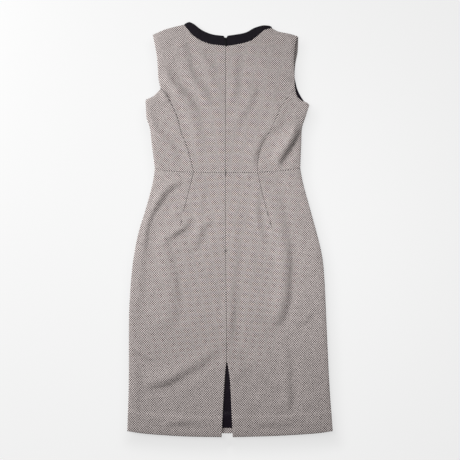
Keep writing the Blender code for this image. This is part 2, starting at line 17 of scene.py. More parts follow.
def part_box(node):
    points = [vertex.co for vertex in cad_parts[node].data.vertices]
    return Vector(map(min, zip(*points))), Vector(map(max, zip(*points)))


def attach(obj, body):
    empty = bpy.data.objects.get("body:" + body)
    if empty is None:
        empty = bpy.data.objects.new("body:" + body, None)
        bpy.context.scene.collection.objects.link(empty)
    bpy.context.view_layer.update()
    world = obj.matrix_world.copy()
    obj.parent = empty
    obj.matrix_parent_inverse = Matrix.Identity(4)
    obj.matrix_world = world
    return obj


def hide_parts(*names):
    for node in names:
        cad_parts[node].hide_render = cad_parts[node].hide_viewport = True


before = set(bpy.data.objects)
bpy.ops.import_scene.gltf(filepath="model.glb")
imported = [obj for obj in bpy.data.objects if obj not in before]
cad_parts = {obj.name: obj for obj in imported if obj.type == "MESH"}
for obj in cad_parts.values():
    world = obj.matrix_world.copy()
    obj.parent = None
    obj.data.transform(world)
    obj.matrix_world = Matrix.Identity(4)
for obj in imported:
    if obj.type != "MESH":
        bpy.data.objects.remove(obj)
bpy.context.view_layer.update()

bl_info = {
    "name": "Shift dress, laid flat",
    "version": (1, 0, 0),
    "blender": (4, 5, 0),
    "location": "View3D > Sidebar > Dress",
    "description": "Cloth, sewing and stage of a shift dress that lies on a surface",
    "category": "Object",
}

MM = 0.001

# ---- How the dress is cut and laid, in millimetres -------------------------------------------------
CLOTH = 1.2
BAND_RISE = 0.5          # how far the neckband stands over the cloth beside it
LINING = 1.0
FACING = 0.8
TAPE = 0.8
SEAM_GAP = 0.4           # between the solids at a seam
SEWN_GAP = 0.12          # between the cloth of two panels at a seam
LAYER_GAP = 0.3
LOFT = 3.0               # how far the back's middle stands over its edges
DEEPEST = 1.8            # the folds sink less than this below it
EDGE_ROLL = 24.0         # width over which the back comes down at its edges
HEM_TURN = 48.0
HEM_STEP = 6.0           # width over which the edge of the turned-up hem fades
FRONT_NECK_DROP = 30.0
FRONT_SCOOP = 5.0        # how much further the front's left armhole is cut in than the back's
FACING_WIDTH = 12.0
LINING_HEM = -500.2
LINING_UNDER = 26.0      # how far the lining reaches under the skirt beside the vent and above it
CENTRE = -11.0
NECK_SEAM = 458.6
VENT_TOP = -340.5
ZIP_END = -70.0
TAPE_WIDTH = 25.0
TAPE_TAIL = 8.0
HINGE_Y = 478.5
BAR = 1.0
PULL_LENGTH = 22.5
PULL_WIDTH = 4.4
EYE_WIDTH = 2.4
EYE_LENGTH = 4.4
SLIDER_Y = 475.4
SLIDER_LENGTH = 11.0

# ---- Seam lines, in millimetres ----------------------------------------------------------------------
SideRow = namedtuple("SideRow", "height left right")
Stitch = namedtuple("Stitch", "x y")

SIDE_SEAMS = [SideRow(-508, -248.7, 248.9),
              SideRow(-397, -247.2, 242.7),
              SideRow(-300, -248.4, 239.4),
              SideRow(-222, -248.9, 237.0),
              SideRow(-143, -245.5, 234.4),
              SideRow(-83, -239.4, 229.4),
              SideRow(-23, -228.4, 216.2),
              SideRow(37, -210.9, 200.6),
              SideRow(98, -195.6, 184.7),
              SideRow(139, -189.4, 177.2)]
FLANKS = [SideRow(139, -189.4, 177.2),
          SideRow(200, -198.0, 180.3),
          SideRow(243, -203.4, 182.8),
          SideRow(270, -212.2, 191.4),
          SideRow(303, -214.6, 201.9)]
PRINCESS_SEAMS = [SideRow(128.5, -91.5, 69.6),
                  SideRow(165, -100.2, 71.8),
                  SideRow(200, -110.5, 80.8),
                  SideRow(230, -122.6, 98.6),
                  SideRow(270, -133.4, 118.0),
                  SideRow(300, -146.4, 132.0),
                  SideRow(330, -161.6, 152.6),
                  SideRow(346, -177.5, 166.4)]
CENTRE_SKIRT = [Stitch(-8, VENT_TOP), Stitch(-9.2, -191), Stitch(-10.7, ZIP_END), Stitch(CENTRE, 127)]

# The lines of one half of the back. Those that run across start at the outer edge, and the others run up.
# dart starts at the hem, and its first stitches only guide the cloth's grid up to its point.
Half = namedtuple("Half", "name side shoulder neck band_end band_top band_close armhole underarm waist_side "
                          "waist_middle dart hem vent")


def half_of(name, side, **lines):
    """A half, from its lines as x and y at each stitch."""
    return Half(name, side, **{key: [Stitch(*place) for place in line] for key, line in lines.items()})


LEFT = half_of(
    name="left", side=-1,
    shoulder=[(-199.2, 489), (-186.4, 495), (-162, 505.4), (-118.2, 516.8)],
    neck=[(-118.2, 516.8), (-94, 485.4), (-57, 465.6), (CENTRE, NECK_SEAM)],
    band_end=[(-118.2, 516.8), (-111, 520.6), (-104, 522.3)],
    band_top=[(-104, 522.3), (-92, 516.2), (-72, 500.6), (-46, 489.6), (-16, 485)],
    band_close=[(CENTRE, NECK_SEAM), (CENTRE - 0.3, 466), (CENTRE - 1.4, 478.4), (-16, 485)],
    armhole=[(-177.5, 346), (-183.4, 375), (-185.8, 412), (-190.2, 446), (-199.2, 489)],
    underarm=[(-214.6, 303), (-213.8, 317), (-197, 325.6), (-185, 337.4), (-177.5, 346)],
    waist_side=[(-189.4, 139), (-150, 131.4), (-91.5, 128.5)],
    waist_middle=[(-91.5, 128.5), (CENTRE, 127)],
    dart=[(-124, -8), (-113.4, 40), (-91.5, 128.5)],
    hem=[(-248.7, -508), (-202, -514.6), (-110, -520.6), (-20.1, -522.3)],
    vent=[(-20.1, -522.3), (-17.3, -465), (-13.2, -391), (-10.4, -357), (-8, VENT_TOP)])
RIGHT = half_of(
    name="right", side=1,
    shoulder=[(173.4, 485), (155, 491.6), (124, 498), (108.4, 507)],
    neck=[(108.4, 507), (86, 499), (54.6, 473), (11.8, 461.2), (CENTRE, NECK_SEAM)],
    band_end=[(108.4, 507), (106.4, 510.4), (100, 512.6)],
    band_top=[(100, 512.6), (84, 512.8), (62, 506.2), (38, 493.6), (-6.6, 485.2)],
    band_close=[(CENTRE, NECK_SEAM), (CENTRE + 0.3, 466), (CENTRE + 1.4, 478.4), (-6.6, 485.2)],
    armhole=[(166.4, 346), (165.0, 380), (164.8, 421), (167.7, 458), (173.4, 485)],
    underarm=[(201.9, 303), (195.5, 309.6), (183.2, 314.8), (171.4, 325.6), (166.4, 346)],
    waist_side=[(177.2, 139), (126, 132.4), (69.6, 128.5)],
    waist_middle=[(69.6, 128.5), (CENTRE, 127)],
    dart=[(104, -10), (87, 52), (69.6, 128.5)],
    hem=[(248.9, -508), (205, -513.8), (110, -519.6), (6.6, -522.3)],
    vent=[(6.6, -522.3), (3.9, -465), (0.2, -391), (-4.2, -357), (-8, VENT_TOP)])
BELOW_DART = {"left": [Stitch(-133, -519.4), Stitch(-131, -260)],
              "right": [Stitch(122, -518.9), Stitch(114, -260)]}
FRONT_ARMHOLE_RIGHT = [Stitch(201.9, 303), Stitch(187.4, 315.8), Stitch(173.0, 342.4), Stitch(165.8, 374),
                       Stitch(167.2, 409), Stitch(173.8, 445), Stitch(175.6, 484)]
FACED_STITCHES = 4
FRONT_HEM = [Stitch(-248.7, -508), Stitch(-130, -512.4), Stitch(0, -513.3), Stitch(130, -512.4),
             Stitch(248.9, -508)]

# ---- Folds of the back, in millimetres ---------------------------------------------------------------
# Each point of a path is x, y and how steep the cloth stands there. It rises to the path's left and falls
# to its right, and rounds away over the two widths. A negative slope rises to the right.
Fold = namedtuple("Fold", "name high_side low_side path")
WAIST_TUCK = Fold("waist tuck, right", 17, 11,
                  [(122, 140, 0), (130, 156, 0.65), (140, 173, 1.0), (155, 196, 1.15), (170, 220, 1.15),
                   (178, 236, 0.9), (184, 252, 0.35), (190, 275, 0)])
FOLDS = [
    # the bodice
    Fold("shoulder blade, left", 18, 14, [(-42, 300, 0), (-50, 318, 0.24), (-58, 336, 0.32),
         (-70, 353, 0.34), (-80, 366, 0.35), (-90, 384, 0.4), (-98, 408, 0.34), (-104, 432, 0.24),
         (-112, 462, 0.21), (-121, 490, 0)]),
    Fold("armhole to waist, left", 18, 16, [(-58, 190, 0), (-66, 222, 0.12), (-73, 255, 0.17),
         (-80, 283, 0.23), (-88, 301, 0.37), (-98, 318, 0.41), (-107, 329, 0.28), (-117, 340, 0.39),
         (-130, 353, 0.47), (-143, 368, 0.47), (-152, 388, 0.35), (-162, 406, 0)]),
    Fold("armhole corner, left", 12, 10, [(-146, 310, 0), (-155, 324, 0.63), (-163, 334, 0.8),
         (-172, 346, 0.57), (-178, 354, 0.11)]),
    Fold("side panel, left", 16, 16, [(-128, 150, 0), (-133, 172, 0.24), (-142, 197, 0.24),
         (-160, 220, 0.32), (-177, 236, 0.34), (-190, 256, 0.36), (-198, 280, 0.1)]),
    Fold("between the blades, left", 12, 12, [(-10, 300, 0), (-16, 325, 0.15), (-26, 348, 0.24),
         (-38, 366, 0.25), (-50, 380, 0.15), (-58, 392, 0)]),
    Fold("below the neck, left", 12, 12, [(-22, 380, 0), (-35, 400, 0.22), (-48, 415, 0.22),
         (-62, 432, 0.15), (-72, 450, 0)]),
    Fold("between the blades, right", 12, 12, [(12, 308, 0), (15, 330, 0.3), (18, 353, 0.36),
         (18, 383, 0.34), (21, 415, 0.2), (22, 445, 0.08), (20, 465, 0)]),
    Fold("back hollow, right", 14, 13, [(18, 205, 0), (20, 240, 0.11), (26, 262, 0.16), (38, 281, 0.22),
         (52, 298, 0.3), (60, 318, 0.3), (66, 333, 0.24), (70, 350, 0)]),
    Fold("underarm drag, right", 12, 11, [(45, 365, 0), (70, 365, 0.29), (100, 369, 0.29),
         (130, 365, 0.63), (145, 362, 0.63), (160, 357, 0.46), (170, 351, 0)]),
    Fold("seam hollow, right", 16, 11, [(60, 134, 0), (66, 155, 0.3), (70, 173, 0.38), (79, 196, 0.4),
         (88, 216, 0.36), (97, 226, 0.4), (115, 237, 0.36), (130, 247, 0.24), (142, 256, 0)]),
    WAIST_TUCK,
    Fold("waist drag, right", 10, 9, [(85, 150, 0), (102, 143, 0.2), (120, 141, 0.24), (135, 146, 0.16),
         (142, 152, 0)]),
    Fold("armhole drag, right", 12, 10, [(80, 422, 0), (105, 427, 0.11), (135, 429, 0.13), (164, 433, 0)]),
    Fold("princess crown, left", 14, 14, [(-80, 180, 0), (-95, 215, -0.16), (-112, 255, -0.21),
         (-124, 300, -0.21), (-142, 338, -0.19), (-160, 365, -0.13), (-176, 385, 0)]),
    # the seat
    Fold("hip sweep, left", 16, 21, [(-232, -262, 0), (-228, -229, 0.13), (-222, -187, 0.16),
         (-215, -120, 0.16), (-211, -75, 0.24), (-207, -45, 0.4), (-203, -10, 0.56), (-194, 15, 0.68),
         (-180, 38, 0.72), (-165, 64, 0.72), (-150, 82, 0.68), (-135, 92, 0.48), (-120, 99, 0.16),
         (-108, 104, 0)]),
    Fold("dart end, left", 13, 13, [(-152, -45, 0.08), (-143, -38, 0.4), (-133, -31, 0.64),
         (-125, -26, 0.68), (-114, -19, 0.64), (-104, -8, 0.48), (-97, 5, 0.28), (-92, 20, 0)]),
    Fold("thigh, left", 28, 14, [(-134, -265, 0), (-131, -235, 0.18), (-127, -205, 0.25),
         (-127, -170, 0.26), (-133, -127, 0.26), (-140, -95, 0.28), (-148, -65, 0.26), (-153, -45, 0.18),
         (-150, -22, 0)]),
    Fold("seat crescent, left", 15, 14, [(-108, -82, 0), (-98, -76, 0.12), (-85, -66, 0.23),
         (-74, -48, 0.3), (-68, -25, 0.34), (-60, -10, 0.32), (-50, -4, 0.27), (-38, 3, 0)]),
    Fold("seat fold, left", 11, 11, [(-73, -5, 0), (-70, 25, 0.16), (-66, 60, 0.16), (-64, 98, 0)]),
    Fold("seat fold, right", 12, 12, [(97, -66, 0), (90, -47, 0.2), (83, -25, 0.35), (76, 0, 0.42),
         (73, 25, 0.42), (72, 45, 0.3), (74, 65, 0.15), (80, 92, 0)]),
    Fold("seat drag, right", 10, 9, [(116, -106, 0), (100, -88, 0.3), (80, -68, 0.36), (62, -52, 0.24),
         (50, -40, 0)]),
    Fold("by the seam, right", 14, 16, [(3, -308, 0), (7, -270, 0.25), (10, -240, 0.31), (10, -210, 0.3),
         (12, -165, 0.29), (16, -120, 0.25), (20, -80, 0.2), (18, -40, 0.23), (20, -10, 0.16), (18, 22, 0)]),
    Fold("by the seam, left", 8, 8, [(-24, -240, 0), (-27, -205, 0.16), (-28, -180, 0.16), (-20, -155, 0)]),
    Fold("thigh, right", 24, 13, [(118, -262, 0), (126, -247, 0.36), (133, -232, 0.48), (141, -208, 0.52),
         (148, -175, 0.54), (150, -140, 0.53), (152, -100, 0.48), (151, -65, 0.4), (147, -35, 0.36),
         (140, -7, 0.28), (133, 25, 0.2), (130, 55, 0.12), (128, 88, 0)]),
    # the skirt below
    Fold("knee, right", 16, 14, [(146, -470, 0), (147, -452, 0.22), (150, -417, 0.32), (149, -385, 0.32),
         (147, -345, 0.27), (141, -305, 0.19), (134, -280, 0.11), (128, -258, 0)]),
    Fold("thigh crease, right", 9, 8, [(158, -252, 0), (172, -250, 0.21), (186, -248, 0.25),
         (198, -233, 0.25), (204, -220, 0.14), (207, -206, 0)]),
    Fold("knee drag, left", 22, 14, [(-214, -401, 0), (-196, -405, 0.28), (-172, -403, 0.45),
         (-150, -397, 0.46), (-126, -384, 0.43), (-102, -369, 0.37), (-76, -356, 0.26), (-54, -338, 0.24),
         (-35, -328, 0.15), (-18, -318, 0)]),
    Fold("knee drag, right", 20, 18, [(35, -350, 0), (55, -364, 0.2), (80, -384, 0.22), (112, -406, 0.22),
         (142, -424, 0)]),
    Fold("side crease, left", 9, 8, [(-246, -312, 0.12), (-225, -322, 0.5), (-203, -337, 0.5),
         (-186, -343, 0)]),
    Fold("side, low left", 14, 14, [(-222, -478, 0), (-222, -430, 0.16), (-224, -380, 0.16),
         (-227, -340, 0)]),
    Fold("above the hem, left", 14, 12, [(-160, -496, 0), (-130, -492, 0.3), (-95, -492, 0.3),
         (-60, -497, 0)]),
    Fold("above the hem, right", 14, 12, [(60, -498, 0), (85, -496, 0.3), (110, -497, 0.3),
         (145, -500, 0)])]

# Soft waves that cross the whole back: height, wavelength, direction in degrees and phase.
Wave = namedtuple("Wave", "height length heading phase")
WAVES = [Wave(0.28, 83, 12, 0.4), Wave(0.20, 57, 71, 2.1), Wave(0.15, 41, 128, 3.7), Wave(0.09, 29, 35, 5.2),
         Wave(0.32, 118, 97, 1.3), Wave(0.06, 23, 158, 0.9)]
PUCKER_HEIGHT = 0.22     # of the small puckers along the zip
PUCKER_PITCH = 4.6
PUCKER_REACH = 15

# ---- Cloth edges -----------------------------------------------------------------------------------
SHOULDER = 1.3           # the radius over which a sewn or folded edge rounds down
ALLOWANCE = 13.0         # width of the seam allowance pressed open under a seam
ALLOWANCE_LIFT = 0.22    # how far the allowance lifts the cloth over it
ALLOWANCE_SLOPE = 3      # width over which that lift fades out
DART_FADE = 18           # length over which a dart's seam fades out at its point
EDGE_STATIONS = np.array([0.0, 0.22, 0.55, 1.0, 1.7])
FRONT_EDGE = 0.45        # the rounding of the front's edges
TAPE_EDGE = 0.35         # the rounding of the zip tape's edges
LINING_EDGE = 0.9
FACING_EDGE = 0.3
PULL_EDGE = 0.22
TURNED_SHARE = 0.9       # a turned-up hem's mean width, as a share of the piece's greatest width

# ---- Shade that is stored on the cloth and on the floor, from 0 to 1 ---------------------------------
SEAM_SHADE_REACH = 0.9              # how far from a seam its shade reaches
# How dark the painted shade in each seam is at its line's first end and at its last.
SEAM_PAINTED_SHADES = {"waist": (0.2, 0.2), "centre": (0.75, 0.42), "dart_left": (1.0, 1.0),
               "dart_right": (0.9, 0.9), "princess_left": (1.0, 1.0), "princess_right": (0.5, 0.0)}
# Painted shade on the centre seam where strain draws it open, at the waist and at the zip's end: y, width,
# length.
STRAIN_SHADES = ((127, 1.4, 9), (ZIP_END, 2.4, 3))
TUCK_SHADE = 0.42        # painted shade along the deep tuck at the waist
TUCK_REACH = 6.5         # how far from the tuck's path its shade reaches
ARMHOLE_PAINTED_SHADOW = 0.5      # painted shadow on the front where the right armhole's edge hangs over it
ARMHOLE_SHADE_FROM = 150              # x where that part of the front begins
ARMHOLE_SHADE_SPAN = (395, 480)       # its lowest and highest y
FLOOR_PAINTED_SHADOW = 0.15                    # painted shadow: the most of the floor's glow that is taken away beside the dress
FLOOR_SHADE_SHIFT = np.array([8.0, -25.0])   # how far the shade is moved from under the dress
FLOOR_SHADE_REACH = 60.0              # width over which the shade fades out
FLOOR_SHADE_START = 0.4               # the share of that width that is passed at the moved edge

# ---- Cloth, sewing and zip ---------------------------------------------------------------------------
FUZZ = {"Scale": 1500.0, "Detail": 5.0, "Roughness": 0.75}    # noise that frays the weave's blocks
FIBRE_SCALE = 2600.0     # fineness of the single fibres
FIBRE_RELIEF = 0.5       # their height beside a yarn's
FIBRE_TONES = (0.82, 1.16)            # the darkest and the lightest fibre
CREVICE_PAINTED_SHADE = 0.88      # painted shade of the cloth between its yarns
SEAM_PAINTED_SHADE = 0.08         # painted shade: the share of the cloth's colour that is left deep in a seam
TONE_SWING = 0.12        # how uneven the suiting's tone is
CENTRE_GRAIN = 0.6       # degrees that the grain leans in the centre back panels
FLANK_GRAIN = -4.0       # and in the side back panels
FRONT_STEP = 7.0         # distance between the points of the front skirt's grid
STITCH_DEPTH = 0.75      # how far a row of stitches lies below the face
UNSEWN_POINTS = 18       # the centre seam's last points, from 63 mm below the zip's end, have no stitches
COIL_APART = 1.3         # from the centre seam to the middle of each row of the zip's coil
COIL_DEPTH = 0.45        # how far the coil's middle lies under the tape
COIL_TURN = (0.0026, 0.0009, 0.0009)  # size of one turn of the coil, in metres

# ---- Stage -------------------------------------------------------------------------------------------
FLOOR_FAR = 6000.0       # the floor's edges, in millimetres
FLOOR_FINE = (340, 640)  # the half width and half length over which the floor's grid is fine
FLOOR_STEP = 10.0
FLOOR_Z = -0.3
KEY_DISTANCE = 2.0       # all of the rest in metres
KEY_SIZE = 0.9
KEY_TARGET = Vector((0, 0.1, 0))
TOP_SIZE = 0.6
TOP_PLACE = Vector((0.2, 0, 0.7))
VIEW_MIDDLE = Vector((0, -0.017, 0))
FOCAL_SHARE = 800 / 460  # the focal length as a share of the sensor's width
SENSOR = 36.0            # the sensor's width, in millimetres

# ---- Ties between sockets --------------------------------------------------------------------------


def add_node(tree, kind, inputs=None, **settings):
    """A node with its settings, and a value or a link for each input that is named."""
    item = tree.nodes.new(kind)
    for key, value in settings.items():
        setattr(item, key, value)
    for socket, value in (inputs or {}).items():
        if isinstance(value, bpy.types.NodeSocket):
            tree.links.new(value, item.inputs[socket])
        else:
            item.inputs[socket].default_value = value
    return item


def compute(tree, operation, *values):
    """The result of a Math node."""
    return add_node(tree, "ShaderNodeMath", dict(enumerate(values)), operation=operation).outputs[0]


def product(tree, first, second):
    """Two values multiplied by a Math node."""
    return compute(tree, "MULTIPLY", first, second)


def blended(tree, factor, low, high, blend="MIX"):
    """A mix of two colours."""
    mix = add_node(tree, "ShaderNodeMix", data_type="RGBA", blend_type=blend)
    for socket, value in zip((mix.inputs[0], mix.inputs[6], mix.inputs[7]), (factor, low, high)):
        if isinstance(value, bpy.types.NodeSocket):
            tree.links.new(value, socket)
        else:
            socket.default_value = value
    return mix.outputs[2]


def ranged(tree, value, low, high, to_low=0.0, to_high=1.0, ease="LINEAR"):
    """A Map Range node's result."""
    return add_node(tree, "ShaderNodeMapRange", {"Value": value, "From Min": low, "From Max": high,
                                                 "To Min": to_low, "To Max": to_high},
                    interpolation_type=ease).outputs["Result"]


def rgba(colour):
    return (*colour, 1.0)


# ---- Weaves ------------------------------------------------------------------------------------------
def new_group(name, inputs, outputs):
    """A shader node group with its sockets, and its input and output nodes."""
    tree = bpy.data.node_groups.new(name, "ShaderNodeTree")
    for label, kind in inputs:
        tree.interface.new_socket(label, in_out="INPUT", socket_type=kind)
    for label in outputs:
        tree.interface.new_socket(label, in_out="OUTPUT", socket_type="NodeSocketFloat")
    return tree, tree.nodes.new("NodeGroupInput").outputs, tree.nodes.new("NodeGroupOutput").inputs


def make_check_weave():
    """Blocks of light warp floats and dark weft floats, in a basket weave of two colours."""
    tree, given, result = new_group(
        "two_colour_basket", [("Vector", "NodeSocketVector"), ("Across", "NodeSocketFloat"),
                              ("Along", "NodeSocketFloat"), ("Yarns", "NodeSocketFloat"),
                              ("Wander", "NodeSocketFloat"), ("Fray", "NodeSocketFloat")],
        ["Light", "Height"])
    drift = add_node(tree, "ShaderNodeTexNoise", {"Vector": given["Vector"], "Scale": 26.0, "Detail": 2.0})
    centred = add_node(tree, "ShaderNodeVectorMath", {0: drift.outputs["Color"], 1: (0.5, 0.5, 0.5)},
                       operation="SUBTRACT").outputs[0]
    moved = add_node(tree, "ShaderNodeVectorMath", {0: centred, "Scale": given["Wander"]},
                     operation="SCALE").outputs[0]
    place = add_node(tree, "ShaderNodeVectorMath", {0: given["Vector"], 1: moved}).outputs[0]
    parts = add_node(tree, "ShaderNodeSeparateXYZ", {0: place}).outputs
    turns = [product(tree, compute(tree, "DIVIDE", parts[axis], given[size]), 2 * pi)
             for axis, size in ((0, "Across"), (1, "Along"))]
    waves = [compute(tree, "SINE", turn) for turn in turns]
    sign = product(tree, waves[0], waves[1])
    fuzz = add_node(tree, "ShaderNodeTexNoise", {"Vector": given["Vector"], **FUZZ})
    frayed = product(tree, compute(tree, "SUBTRACT", fuzz.outputs["Fac"], 0.5), given["Fray"])
    light = ranged(tree, compute(tree, "ADD", sign, frayed), -0.10, 0.10, ease="SMOOTHSTEP")
    ribs = [compute(tree, "ABSOLUTE", compute(tree, "SINE", product(tree, turn, given["Yarns"])))
            for turn in turns]
    crowns = [compute(tree, "POWER", compute(tree, "ABSOLUTE", wave), 0.25) for wave in waves]
    warp = product(tree, compute(tree, "POWER", ribs[0], 0.6), crowns[1])
    weft = product(tree, compute(tree, "POWER", ribs[1], 0.6), crowns[0])
    height = compute(tree, "ADD", product(tree, warp, light),
                     product(tree, weft, compute(tree, "SUBTRACT", 1.0, light)))
    tree.links.new(light, result["Light"])
    tree.links.new(height, result["Height"])
    return tree


def make_plain_weave():
    """A fine plain weave, over and under."""
    tree, given, result = new_group("plain_weave", [("Vector", "NodeSocketVector"),
                                                    ("Pitch", "NodeSocketFloat")], ["Height"])
    parts = add_node(tree, "ShaderNodeSeparateXYZ", {0: given["Vector"]}).outputs
    turns = [product(tree, compute(tree, "DIVIDE", parts[axis], given["Pitch"]), pi)
             for axis in (0, 1)]
    waves = [compute(tree, "SINE", turn) for turn in turns]
    sign = product(tree, waves[0], waves[1])
    ribs = [compute(tree, "ABSOLUTE", wave) for wave in waves]
    over = compute(tree, "GREATER_THAN", sign, 0.0)
    height = compute(tree, "ADD", product(tree, ribs[0], over),
                     product(tree, ribs[1], compute(tree, "SUBTRACT", 1.0, over)))
    tree.links.new(height, result["Height"])
    return tree


def make_yarn_tone():
    """Uneven tone: slow patches, and short streaks along the warp. It is about 1 on average."""
    tree, given, result = new_group("yarn_tone", [("Vector", "NodeSocketVector"),
                                                  ("Amount", "NodeSocketFloat")], ["Tone"])
    patches = add_node(tree, "ShaderNodeTexNoise", {"Vector": given["Vector"], "Scale": 14.0, "Detail": 3.0})
    stretched = add_node(tree, "ShaderNodeMapping",
                         {"Vector": given["Vector"], "Scale": (900.0, 60.0, 1.0)}).outputs[0]
    streaks = add_node(tree, "ShaderNodeTexNoise", {"Vector": stretched, "Scale": 1.0, "Detail": 1.0})
    total = compute(tree, "ADD", patches.outputs["Fac"], streaks.outputs["Fac"])
    swing = product(tree, compute(tree, "SUBTRACT", total, 1.0), given["Amount"])
    tree.links.new(compute(tree, "ADD", swing, 1.0), result["Tone"])
    return tree


def placed_group(tree, group, **inputs):
    """A node group placed in a material."""
    return add_node(tree, "ShaderNodeGroup", inputs, node_tree=group).outputs


def new_material(name, **shader_values):
    """A Principled material, its tree and its shader's inputs."""
    material = bpy.data.materials.new(name)
    material.use_nodes = True
    tree = material.node_tree
    shader = tree.nodes["Principled BSDF"]
    for label, value in shader_values.items():
        shader.inputs[label.replace("_", " ")].default_value = value
    return material, tree, shader.inputs


def cloth_place(tree):
    """The cloth's own place on the piece, in metres along its two yarns."""
    return add_node(tree, "ShaderNodeUVMap", uv_map="cloth").outputs["UV"]


def bumped(tree, shader, height, distance, strength=1.0):
    bump = add_node(tree, "ShaderNodeBump", {"Strength": strength, "Distance": distance, "Height": height})
    tree.links.new(bump.outputs["Normal"], shader["Normal"])


def make_suiting(look):
    """Wool suiting in a small two-colour check."""
    material, tree, shader = new_material("wool_check", Roughness=0.88, Sheen_Weight=0.12,
                                          Sheen_Roughness=0.5, Specular_IOR_Level=0.25)
    place = cloth_place(tree)
    weave = placed_group(tree, make_check_weave(), Vector=place, Across=look.repeat_across,
                         Along=look.repeat_along, Yarns=float(look.yarns), Wander=look.wander,
                         Fray=look.fray)
    tone = placed_group(tree, make_yarn_tone(), Vector=place, Amount=TONE_SWING)["Tone"]
    fibre = add_node(tree, "ShaderNodeTexNoise", {"Vector": place, "Scale": FIBRE_SCALE, "Detail": 2.0})
    check = blended(tree, weave["Light"], rgba(look.dark_yarn), rgba(look.light_yarn))
    # Painted shade between the yarns, where the weave is low.
    crevice_shade = ranged(tree, weave["Height"], 0.0, 0.5, CREVICE_PAINTED_SHADE, 1.0)
    # Painted shade stored on the piece: the cloth is darkened in the seams, along the waist tuck and under
    # the right armhole's edge.
    painted_shade = add_node(tree, "ShaderNodeAttribute", attribute_name="painted_shade").outputs["Fac"]
    shade = product(tree, product(tree, tone, crevice_shade),
                    ranged(tree, painted_shade, 0.0, 1.0, 1.0, SEAM_PAINTED_SHADE))
    fibre_tone = ranged(tree, fibre.outputs["Fac"], 0.3, 0.7, *FIBRE_TONES)
    grey = add_node(tree, "ShaderNodeCombineColor", {axis: product(tree, shade, fibre_tone)
                                                     for axis in range(3)}).outputs[0]
    tree.links.new(blended(tree, 1.0, check, grey, "MULTIPLY"), shader["Base Color"])
    fibres = product(tree, fibre.outputs["Fac"], FIBRE_RELIEF)
    relief = compute(tree, "ADD", weave["Height"], fibres)
    bumped(tree, shader, relief, look.relief)
    return material


def make_black_cloth(name, colour, pitch, relief, roughness, sheen, weave):
    """A plain black cloth with a fine weave."""
    material, tree, shader = new_material(name, Roughness=roughness, Sheen_Weight=sheen,
                                          Sheen_Roughness=0.4, Specular_IOR_Level=0.2)
    place = cloth_place(tree)
    height = placed_group(tree, weave, Vector=place, Pitch=pitch)["Height"]
    fade = add_node(tree, "ShaderNodeTexNoise", {"Vector": place, "Scale": 60.0, "Detail": 4.0})
    # Random fading, with painted shade where the weave is low and painted light where it is high.
    tone = product(tree, ranged(tree, fade.outputs["Fac"], 0.3, 0.7, 0.85, 1.15),
                   ranged(tree, height, 0.0, 1.0, 0.7, 1.1))
    grey = add_node(tree, "ShaderNodeCombineColor", {axis: tone for axis in range(3)}).outputs[0]
    tree.links.new(blended(tree, 1.0, rgba(colour), grey, "MULTIPLY"), shader["Base Color"])
    bumped(tree, shader, height, relief)
    return material


def make_metal(colour):
    """Dark lacquered metal, rubbed brighter in places."""
    material, tree, shader = new_material("lacquered_metal", Metallic=0.7, Roughness=0.35)
    place = add_node(tree, "ShaderNodeTexCoord").outputs["Object"]
    scuff = add_node(tree, "ShaderNodeTexNoise", {"Vector": place, "Scale": 900.0, "Detail": 5.0})
    tree.links.new(ranged(tree, scuff.outputs["Fac"], 0.35, 0.75, 0.28, 0.55), shader["Roughness"])
    rubbed = ranged(tree, scuff.outputs["Fac"], 0.62, 0.72)
    tree.links.new(blended(tree, rubbed, rgba(colour), (0.09, 0.09, 0.10, 1.0)), shader["Base Color"])
    bumped(tree, shader, scuff.outputs["Fac"], 0.00002)
    return material


def make_thread(colour):
    """Twisted sewing thread."""
    material, tree, shader = new_material("sewing_thread", Roughness=0.6, Sheen_Weight=0.2)
    place = add_node(tree, "ShaderNodeTexCoord").outputs["Object"]
    twist = add_node(tree, "ShaderNodeTexWave", {"Vector": place, "Scale": 900.0, "Distortion": 1.0},
                     bands_direction="DIAGONAL")
    # Painted shade: darker along the twist's grooves.
    tree.links.new(blended(tree, twist.outputs["Fac"], rgba([0.6 * part for part in colour]), rgba(colour)),
                   shader["Base Color"])
    bumped(tree, shader, twist.outputs["Fac"], 0.00005)
    return material


# ---- Lines -------------------------------------------------------------------------------------------
def side_of(half, rows):
    """The half's own column of a table of side rows."""
    return [Stitch(row.left if half is LEFT else row.right, row.height) for row in rows]


def through(stitches, steps=12):
    """A smooth line through the stitches (Catmull-Rom), as an array of x and y."""
    ends = np.array(stitches, dtype=float)
    if len(ends) == 2:
        return ends
    ends = np.vstack([2 * ends[0] - ends[1], ends, 2 * ends[-1] - ends[-2]])
    line = [ends[1]]
    for a, b, c, d in zip(ends, ends[1:], ends[2:], ends[3:]):
        for t in np.linspace(0, 1, steps + 1)[1:]:
            line.append(0.5 * (2 * b + (c - a) * t + (2 * a - 5 * b + 4 * c - d) * t ** 2
                               + (3 * b - a - 3 * c + d) * t ** 3))
    return np.array(line)


def length_along(line):
    """How far along the line each of its points is."""
    return np.concatenate([[0], np.cumsum(np.hypot(*np.diff(line[:, :2], axis=0).T))])


def placed(line, shares):
    """The points at given shares of a line's length."""
    run = length_along(line)
    return np.column_stack([np.interp(np.asarray(shares) * run[-1], run, column) for column in line.T])


def spaced(line, count):
    """The line as `count` steps of equal length."""
    return placed(line, np.linspace(0, 1, count + 1))


def joined(*lines):
    """Lines that meet end to end, as one."""
    return np.vstack([lines[0]] + [line[1:] for line in lines[1:]])


def neckline(side="neck"):
    """The back's neckline or band edge, from the left shoulder to the right one."""
    return joined(through(getattr(LEFT, side)), through(getattr(RIGHT, side))[::-1])


